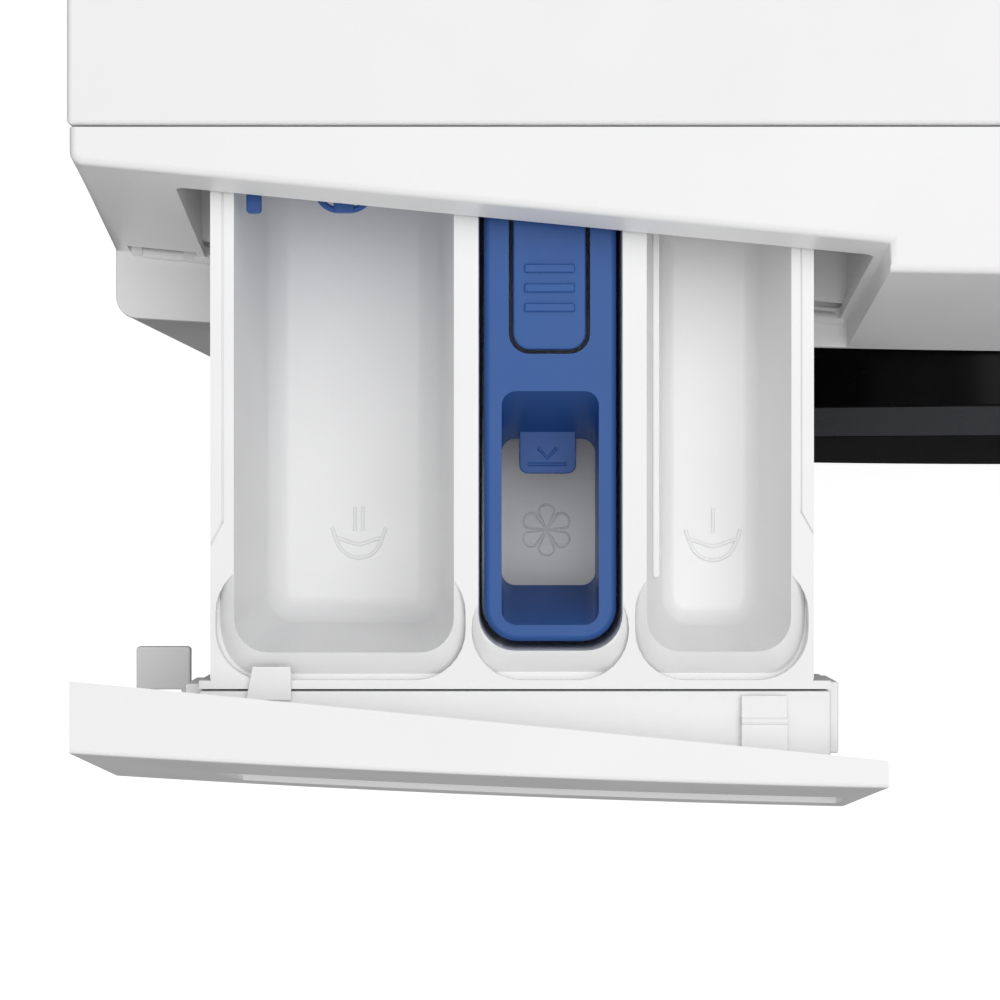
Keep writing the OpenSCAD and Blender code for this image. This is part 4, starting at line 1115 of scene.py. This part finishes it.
def buildDial():
    r, h = controls["dial"][1], controls["knobTop"]
    profile = [(0, -12), (3, -12), (3, 1), (r, 1), (r, 5.8), (r - 2.2, 6.2), (r - 3.8, h - 1),
               (r - 5.6, h), (r - 8, h - 0.6),
               (0, h - 0.8)]
    body = lathe("programDial", rounded(profile, 0.7), 120)
    rib = rod("gripRib", (r - 2.4, 0, 6.6), (r - 3.9, 0, h - 1.6), 0.55, sides=10)
    ribs = ringOf(smooth(rib, 60), controls["ribs"], "Z", (0, 0, 0))
    return onFace(group(body, ribs), controls["dial"][0], middleZ)


def buildPointer():
    r, h = controls["dial"][1], controls["knobTop"]
    mark = roundBlock("pointer", (-0.8, r - 16, h - 0.9), (0.8, r - 8.5, h - 0.1), 0.7, segments=4)
    return onFace(smooth(mark), controls["dial"][0], middleZ)


def buildDialMarks():
    inner, outer = controls["markRing"]
    marks = []
    for i in range(controls["marks"]):
        wide, long = (0.7, outer + 1.2) if i % 4 == 0 else (0.4, outer)
        tick = roundBlock("tick", (-wide, inner, 0.02), (wide, long, 0.12), 0.3, segments=2)
        marks.append(copyOf(tick, turn=360 * i / controls["marks"], axis="Z"))
        bpy.data.objects.remove(tick, do_unlink=True)
    for i, x in enumerate((40, 52, 64, 76)):  # option rows beside the dial, as plain bars
        for j in range(3):
            width = 8 - 2 * ((i + j) % 3)
            y = -22 - 4 * j
            marks.append(roundBlock("rowBar", (x - 4.5, y, 0.02), (x - 4.5 + width, y + 1, 0.1), 0.4,
                                    segments=2))
    return wrapFace(group(*marks), controls["dial"][0], middleZ)


def buildWindow():
    x0, x1, z0, z1 = fascia["display"]
    body = faceSolid("displayWindow", 0.1)
    cut(body, faceSolid("behind", 2))
    meet(body, roundBlock("span", (x0, fy - 2, z0), (x1, fy + 40, z1), 4, axis=1, segments=6))
    return soften(body, 0.3, 2)


def buildDigits():
    wide, high, thick = controls["digit"]
    # segments: top, upper left, upper right, middle, lower left, lower right, foot
    lit = {"1": (2, 5), "2": (0, 2, 3, 4, 6), "8": (0, 1, 2, 3, 4, 5, 6)}
    parts = []
    x = -18.0
    for sign in controls["digits"]:
        if sign == ":":
            parts += [roundBlock("dot", (x + 1, y, 0), (x + 2.8, y + 1.8, 0.15), 0.8,
                                 segments=3) for y in (-4.5, 2.7)]
            x += 6
            continue
        half = high / 2
        spans = [(0.8, half - thick, wide - 0.8, half), (0, 0.4, thick, half - 0.6),
                 (wide - thick, 0.4, wide, half - 0.6),
                 (0.8, -thick / 2, wide - 0.8, thick / 2), (0, -half + 0.6, thick, -0.4),
                 (wide - thick, -half + 0.6, wide, -0.4), (0.8, -half, wide - 0.8, -half + thick)]
        parts += [roundBlock("segment", (x + a, b, 0), (x + c, d, 0.15), 0.5, segments=2)
                  for k, (a, b, c, d) in enumerate(spans) if k in lit[sign]]
        x += wide + 4
    for i in range(5):  # row of small program lamps
        parts.append(rod("lamp", (-30 + 15 * i, -16, 0), (-30 + 15 * i, -16, 0.15), 1.1, sides=20))
    return wrapFace(group(*parts), (fascia["display"][0] + fascia["display"][1]) / 2, middleZ)


def buildButton(x):
    r = controls["button"]
    profile = [(0, -6.5), (r + 1.6, -6.5), (r + 1.6, -5), (r, -5), (r, 1.5), (r - 1.5, 1.5), (r - 3, 1.1),
               (0, 0.9)]
    return onFace(lathe("pushButton", rounded(profile, 0.5), 96), x, middleZ)


def startSign(x):
    play = wire("play", [(-2.6, -2.4, 1.1), (-2.6, 2.4, 1.1), (1.0, 0, 1.1)], 0.3, closed=True)
    bars = [wire("pause", [(dx, -2.4, 1.1), (dx, 2.4, 1.1)], 0.3) for dx in (2.2, 3.6)]
    return onFace(group(play, *bars), x, middleZ)


def powerSign(x):
    ring = wire("ring", [(a, b, 1.1) for a, b in arcPoints((0, 0), 3.2, 125, 415, 24)], 0.3)
    stroke = wire("stroke", [(0, 1.2, 1.1), (0, 4.2, 1.1)], 0.3)
    return onFace(group(ring, stroke), x, middleZ)


dress(buildDial(), "dial", "fascia_white", "program_dial")
dress(buildPointer(), "dial", "fascia_white", look=printGrey)
dress(buildDialMarks(), "cabinet", "fascia_white", look=printGrey)
dress(buildWindow(), "cabinet", "display_black", "display_window")
dress(buildDigits(), "cabinet", "display_black", look=litDigit)
for x, body, sign in ((fascia["start"], "start", startSign), (fascia["power"], "power", powerSign)):
    dress(buildButton(x), body, "door_grey", body + "_button")
    dress(sign(x), body, "door_grey", look=printGrey)
print("controls built")

drum = {"radius": 236.8, "front": py + 96, "length": 300, "columns": 72, "rows": 13, "hole": 2.6}


def buildDrum():
    y0, y1, r = drum["front"], drum["front"] + drum["length"], drum["radius"]
    wide = 2 * math.pi * r / drum["columns"]
    long = (drum["length"] - 28) / drum["rows"]
    bpy.ops.object.select_all(action="DESELECT")
    bpy.ops.mesh.primitive_grid_add(x_subdivisions=2, y_subdivisions=2, size=1, location=(0, 0, 0))
    sheet = bpy.context.object
    sheet.name = "drumShell"
    sheet.scale = (wide / 1000, long / 1000, 1)
    settle(sheet)
    alone(sheet)
    bpy.ops.object.mode_set(mode="EDIT")
    bpy.ops.mesh.select_mode(type="VERT")
    bpy.ops.mesh.select_all(action="DESELECT")
    mesh = bmesh.from_edit_mesh(sheet.data)
    for vertex in mesh.verts:
        vertex.select = vertex.co.length < 0.0001
    bmesh.update_edit_mesh(sheet.data)
    bpy.ops.mesh.bevel(offset=drum["hole"] / 1000, segments=3, affect="VERTICES")
    mesh = bmesh.from_edit_mesh(sheet.data)
    for face in mesh.faces:
        face.select = face.calc_center_median().length < 0.0001
    bmesh.update_edit_mesh(sheet.data)
    bpy.ops.mesh.select_mode(type="FACE")
    bpy.ops.mesh.delete(type="FACE")
    bpy.ops.object.mode_set(mode="OBJECT")
    for count, step in ((drum["columns"], (wide / 1000, 0, 0)), (drum["rows"], (0, long / 1000, 0))):
        repeat = sheet.modifiers.new("repeat", "ARRAY")
        repeat.count = count
        repeat.use_relative_offset = False
        repeat.use_constant_offset = True
        repeat.constant_offset_displace = step
        repeat.use_merge_vertices = True
        repeat.merge_threshold = 0.00002
        bpy.ops.object.modifier_apply(modifier=repeat.name)
    for vertex in sheet.data.vertices:  # rolled into a shell, each row stepped half a hole
        u, v = vertex.co.x * 1000 + wide / 2, vertex.co.y * 1000 + long / 2
        a = (u + v / long * wide / 2) / r
        vertex.co = (r * math.cos(a) / 1000, (y0 + 14 + v) / 1000, (doorZ + r * math.sin(a)) / 1000)
    alone(sheet)
    bpy.ops.object.mode_set(mode="EDIT")
    bpy.ops.mesh.select_all(action="SELECT")
    bpy.ops.mesh.remove_doubles(threshold=0.00002)
    bpy.ops.mesh.normals_make_consistent(inside=False)
    bpy.ops.object.mode_set(mode="OBJECT")
    solid = sheet.modifiers.new("sheet", "SOLIDIFY")
    solid.thickness = 0.0011
    solid.offset = 1
    bpy.ops.object.modifier_apply(modifier=solid.name)
    smooth(sheet)
    rimRadius = r + 1.2
    front = [(160, y0 + 6), (166, y0), (rimRadius - 10, y0 + 4), (rimRadius, y0 + 14), (r - 0.2, y0 + 14.6),
             (rimRadius - 10.5, y0 + 5.2), (166.3, y0 + 1.4), (161, y0 + 6.6)]
    ends = turned("drumEnds", rounded(front, 1.5))
    rear = [(rimRadius, y1 - 14), (rimRadius - 14, y1), (170, y1), (160, y1 - 3), (90, y1 - 3), (80, y1),
            (0, y1),
            (0, y1 - 1.2), (79, y1 - 1.2), (89, y1 - 4.2), (161, y1 - 4.2), (171, y1 - 1.2),
            (rimRadius - 14.4, y1 - 1.2), (r, y1 - 14.4)]
    disc = turned("drumRear", rounded(rear, 1.5))
    return group(sheet, ends, disc)


def buildLifters():
    inner = drum["radius"] - 0.3
    y1 = drum["front"] + drum["length"] - 32
    outline = [(inner + 0.1, -27), (inner - 14, -22), (inner - 40, -11), (inner - 48, -5), (inner - 50, 0),
               (inner - 48, 5),
               (inner - 40, 11), (inner - 14, 22), (inner + 0.1, 27)]
    lifter = prismZ("lifter", outline, 0, drum["length"] - 64)
    soften(lifter, 2.5, 3, 20)
    lifter = placed(lifter, (90, 0, 0), (0, y1, doorZ))
    first = copyOf(lifter, turn=90, about=(0, 0, doorZ))
    bpy.data.objects.remove(lifter, do_unlink=True)
    return ringOf(first, 3)


def buildPulley():
    y0 = py + 466
    rim = [(125, 0), (135, 0)]
    for i in range(6):
        rim += [(135, 1.2 + i * 2.4), (133.4, 2.2 + i * 2.4)]
    rim += [(135, 16), (125, 16)]
    body = turned("drumPulley", [(r, y0 + d) for r, d in rim])
    hub = turned("hub", [(r, y0 + d) for r, d in rounded([(12.6, 0), (26, 0), (26, 16), (12.6, 16)], 1.2)])
    spoke = block("spoke", (24, y0 + 4, doorZ - 9), (126, y0 + 12, doorZ + 9))
    for vertex in spoke.data.vertices:  # narrower towards the rim
        if vertex.co.x > 0.1:
            vertex.co.z = doorZ / 1000 + (vertex.co.z - doorZ / 1000) * 0.6
    soften(spoke, 2, 3)
    return group(body, hub, ringOf(spoke, 6))


def springPoints(x, turns=9, steps=20):
    lo, hi, r = 640, 797, 12
    count = turns * steps
    points = [(x, fy + 345, lo - 8), (x + r * 0.5, fy + 345, lo - 3)]
    points += [(x + r * math.cos(2 * math.pi * i / steps), fy + 345 + r * math.sin(2 * math.pi * i / steps),
                lo + (hi - lo) * i / count) for i in range(count + 1)]
    return points + [(x + r * 0.5, fy + 345, hi + 2), (x, fy + 345, hi + 2)]


def buildMotor():
    x, z, y0, y1 = 20, 150, py + 290, py + 415
    profile = [(0, y0 - 10), (30, y0 - 10), (30, y0), (48, y0), (54, y0 + 6), (54, y1 - 6), (48, y1),
               (0, y1)]
    body = turned("driveMotor", rounded(profile, 1.5), (x, 0, z), 96)
    fin = roundBlock("fin", (x - 1.2, y0 + 22, z + 50), (x + 1.2, y1 - 22, z + 54), 1, axis=1, segments=2)
    ears = [soften(block("ear", (x + min(s * 29, s * 34.8), y0 + 12, z + 36),
                         (x + max(s * 29, s * 34.8), y1 - 17, z + 68)), 1, 2)
            for s in (-1, 1)]
    return group(body, ringOf(fin, 40, about=(x, 0, z)), *ears)


dress(buildDrum(), "drum", "drum_steel", "drum")
dress(buildLifters(), "drum", "tub_plastic", "drum_lifters")
dress(buildPulley(), "drum", "cast_aluminium", "drum_pulley")
dress(buildMotor(), "tub", "motor_steel", "drive_motor")
springs = group(*[wire("springs", springPoints(x), 2.1, sides=2) for x in (255, -255)])
hang(springs, "zinc_steel", "suspension_springs")

hose = {"cuff": 12, "pitch": 5, "valley": 1.7}


def buildHose(name, x, y, z0, z1, radius, bore):
    # ribbed between two plain cuffs
    outline = [(bore, z1), (bore, z0), (radius, z0), (radius, z0 + hose["cuff"])]
    count = int((z1 - z0 - 2 * hose["cuff"]) / hose["pitch"])
    step = (z1 - z0 - 2 * hose["cuff"]) / count
    valley = radius - hose["valley"]
    for i in range(count):
        z = z0 + hose["cuff"] + i * step
        outline += [(valley, z + 0.2 * step), (valley, z + 0.4 * step), (radius, z + 0.6 * step),
                    (radius, z + step)]
    outline += [(radius, z1)]
    return placed(lathe(name, outline, 72), shift=(x, y, 0))


x, y = -85, py + 270
hang(buildHose("sumpHose", x, y, 120, 230, 27, 21), "rubber_black", "sump_hose")
x, y = -190, fy + 280
hang(buildHose("tubHose", x, y, 702.5, 752.5, 23, 20.1), "rubber_black", "tub_hose")
print("drum and suspension built")


def buildFoot(x, y):
    pad = lathe("footPad",
                rounded([(0, 0), (20, 0), (21, 1), (21, 5), (18, 6.4), (9.5, 11.9), (0, 11.9)], 0.8), 72)
    grooves = [lathe("groove", [(20.4, z), (21.4, z), (21.4, z + 0.8), (20.4, z + 0.8)], 72)
               for z in (2, 3.6)]
    cut(pad, *grooves)
    return placed(smooth(pad), shift=(x, y, 0))


def buildStud(x, y):
    thread = [(0, 8)]
    for i in range(17):
        thread += [(4.6, 12 + i * 1.85), (5, 12.9 + i * 1.85)]
    stud = lathe("stud", thread + [(4.6, 43.5), (4, 44), (0, 44)], 32)
    bpy.ops.object.select_all(action="DESELECT")
    bpy.ops.mesh.primitive_cylinder_add(vertices=6, radius=0.0105, depth=0.006, location=(0, 0, 0.0155))
    nut = settle(bpy.context.object)
    cut(nut, rod("bore", (0, 0, 8), (0, 0, 30), 4.7, sides=32))
    return placed(group(stud, soften(nut, 0.4, 2)), shift=(x, y, 0))


for side, end, x, y in (("left", "front", -262, py + 46), ("right", "front", 262, py + 46),
                        ("left", "rear", -262, yr - 40),
                        ("right", "rear", 262, yr - 40)):
    body = "foot_" + end[0] + side[0]
    dress(buildFoot(x, y), body, "rubber_black", "foot_" + end + "_" + side)
    dress(buildStud(x, y), body, "zinc_steel")
print("feet built")


def buildFlap():
    y, z0, z1 = fy + 52, rim - 56, rim - 4
    plate = block("liquidFlap", (-259.6, y - 1.2, z0), (-207, y + 1.2, z1))
    cut(plate, block("foot", (-250, y - 2, z0 - 1), (-216, y + 2, z0 + 8)))
    soften(plate, 0.4, 2)
    barrel = rod("barrel", (-260.4, y, rim - 5), (-206.1, y, rim - 5), 2, sides=32)
    ring = roundBlock("ring", (-241.2, y - 20.5, rim - 6), (-225.6, y, rim - 3.5), 6.5, segments=10)
    cut(ring, roundBlock("hole", (-239.6, y - 19, rim - 8), (-227.2, y - 4, rim - 2), 5.2, segments=8))
    soften(ring, 0.7, 3)
    lip = roundBlock("lip", (-236, y - 20.5, rim - 5), (-230.8, y - 15.5, rim - 3), 1.2, segments=4)
    clip = roundBlock("clip", (-258, y - 20.5, rim - 7), (-254.2, y, rim - 4.5), 1, segments=4)
    return group(plate, smooth(barrel), ring, soften(lip, 0.5, 2), soften(clip, 0.5, 2))


dress(buildFlap(), "flap", "insert_blue", "liquid_flap")
print("liquid flap built")

slotOf = {s["node"]: s["material_slot"] for s in frame["record"]["subparts"]}
for name, piece in nodes.items():
    if piece.hide_render:
        continue
    piece.data.materials.clear()
    piece.data.materials.append(materials["fascia_white" if name == "drawer_housing" else slotOf[name]])
    alone(piece)
    bpy.ops.object.shade_smooth_by_angle(angle=math.radians(32))
print("carried nodes finished")
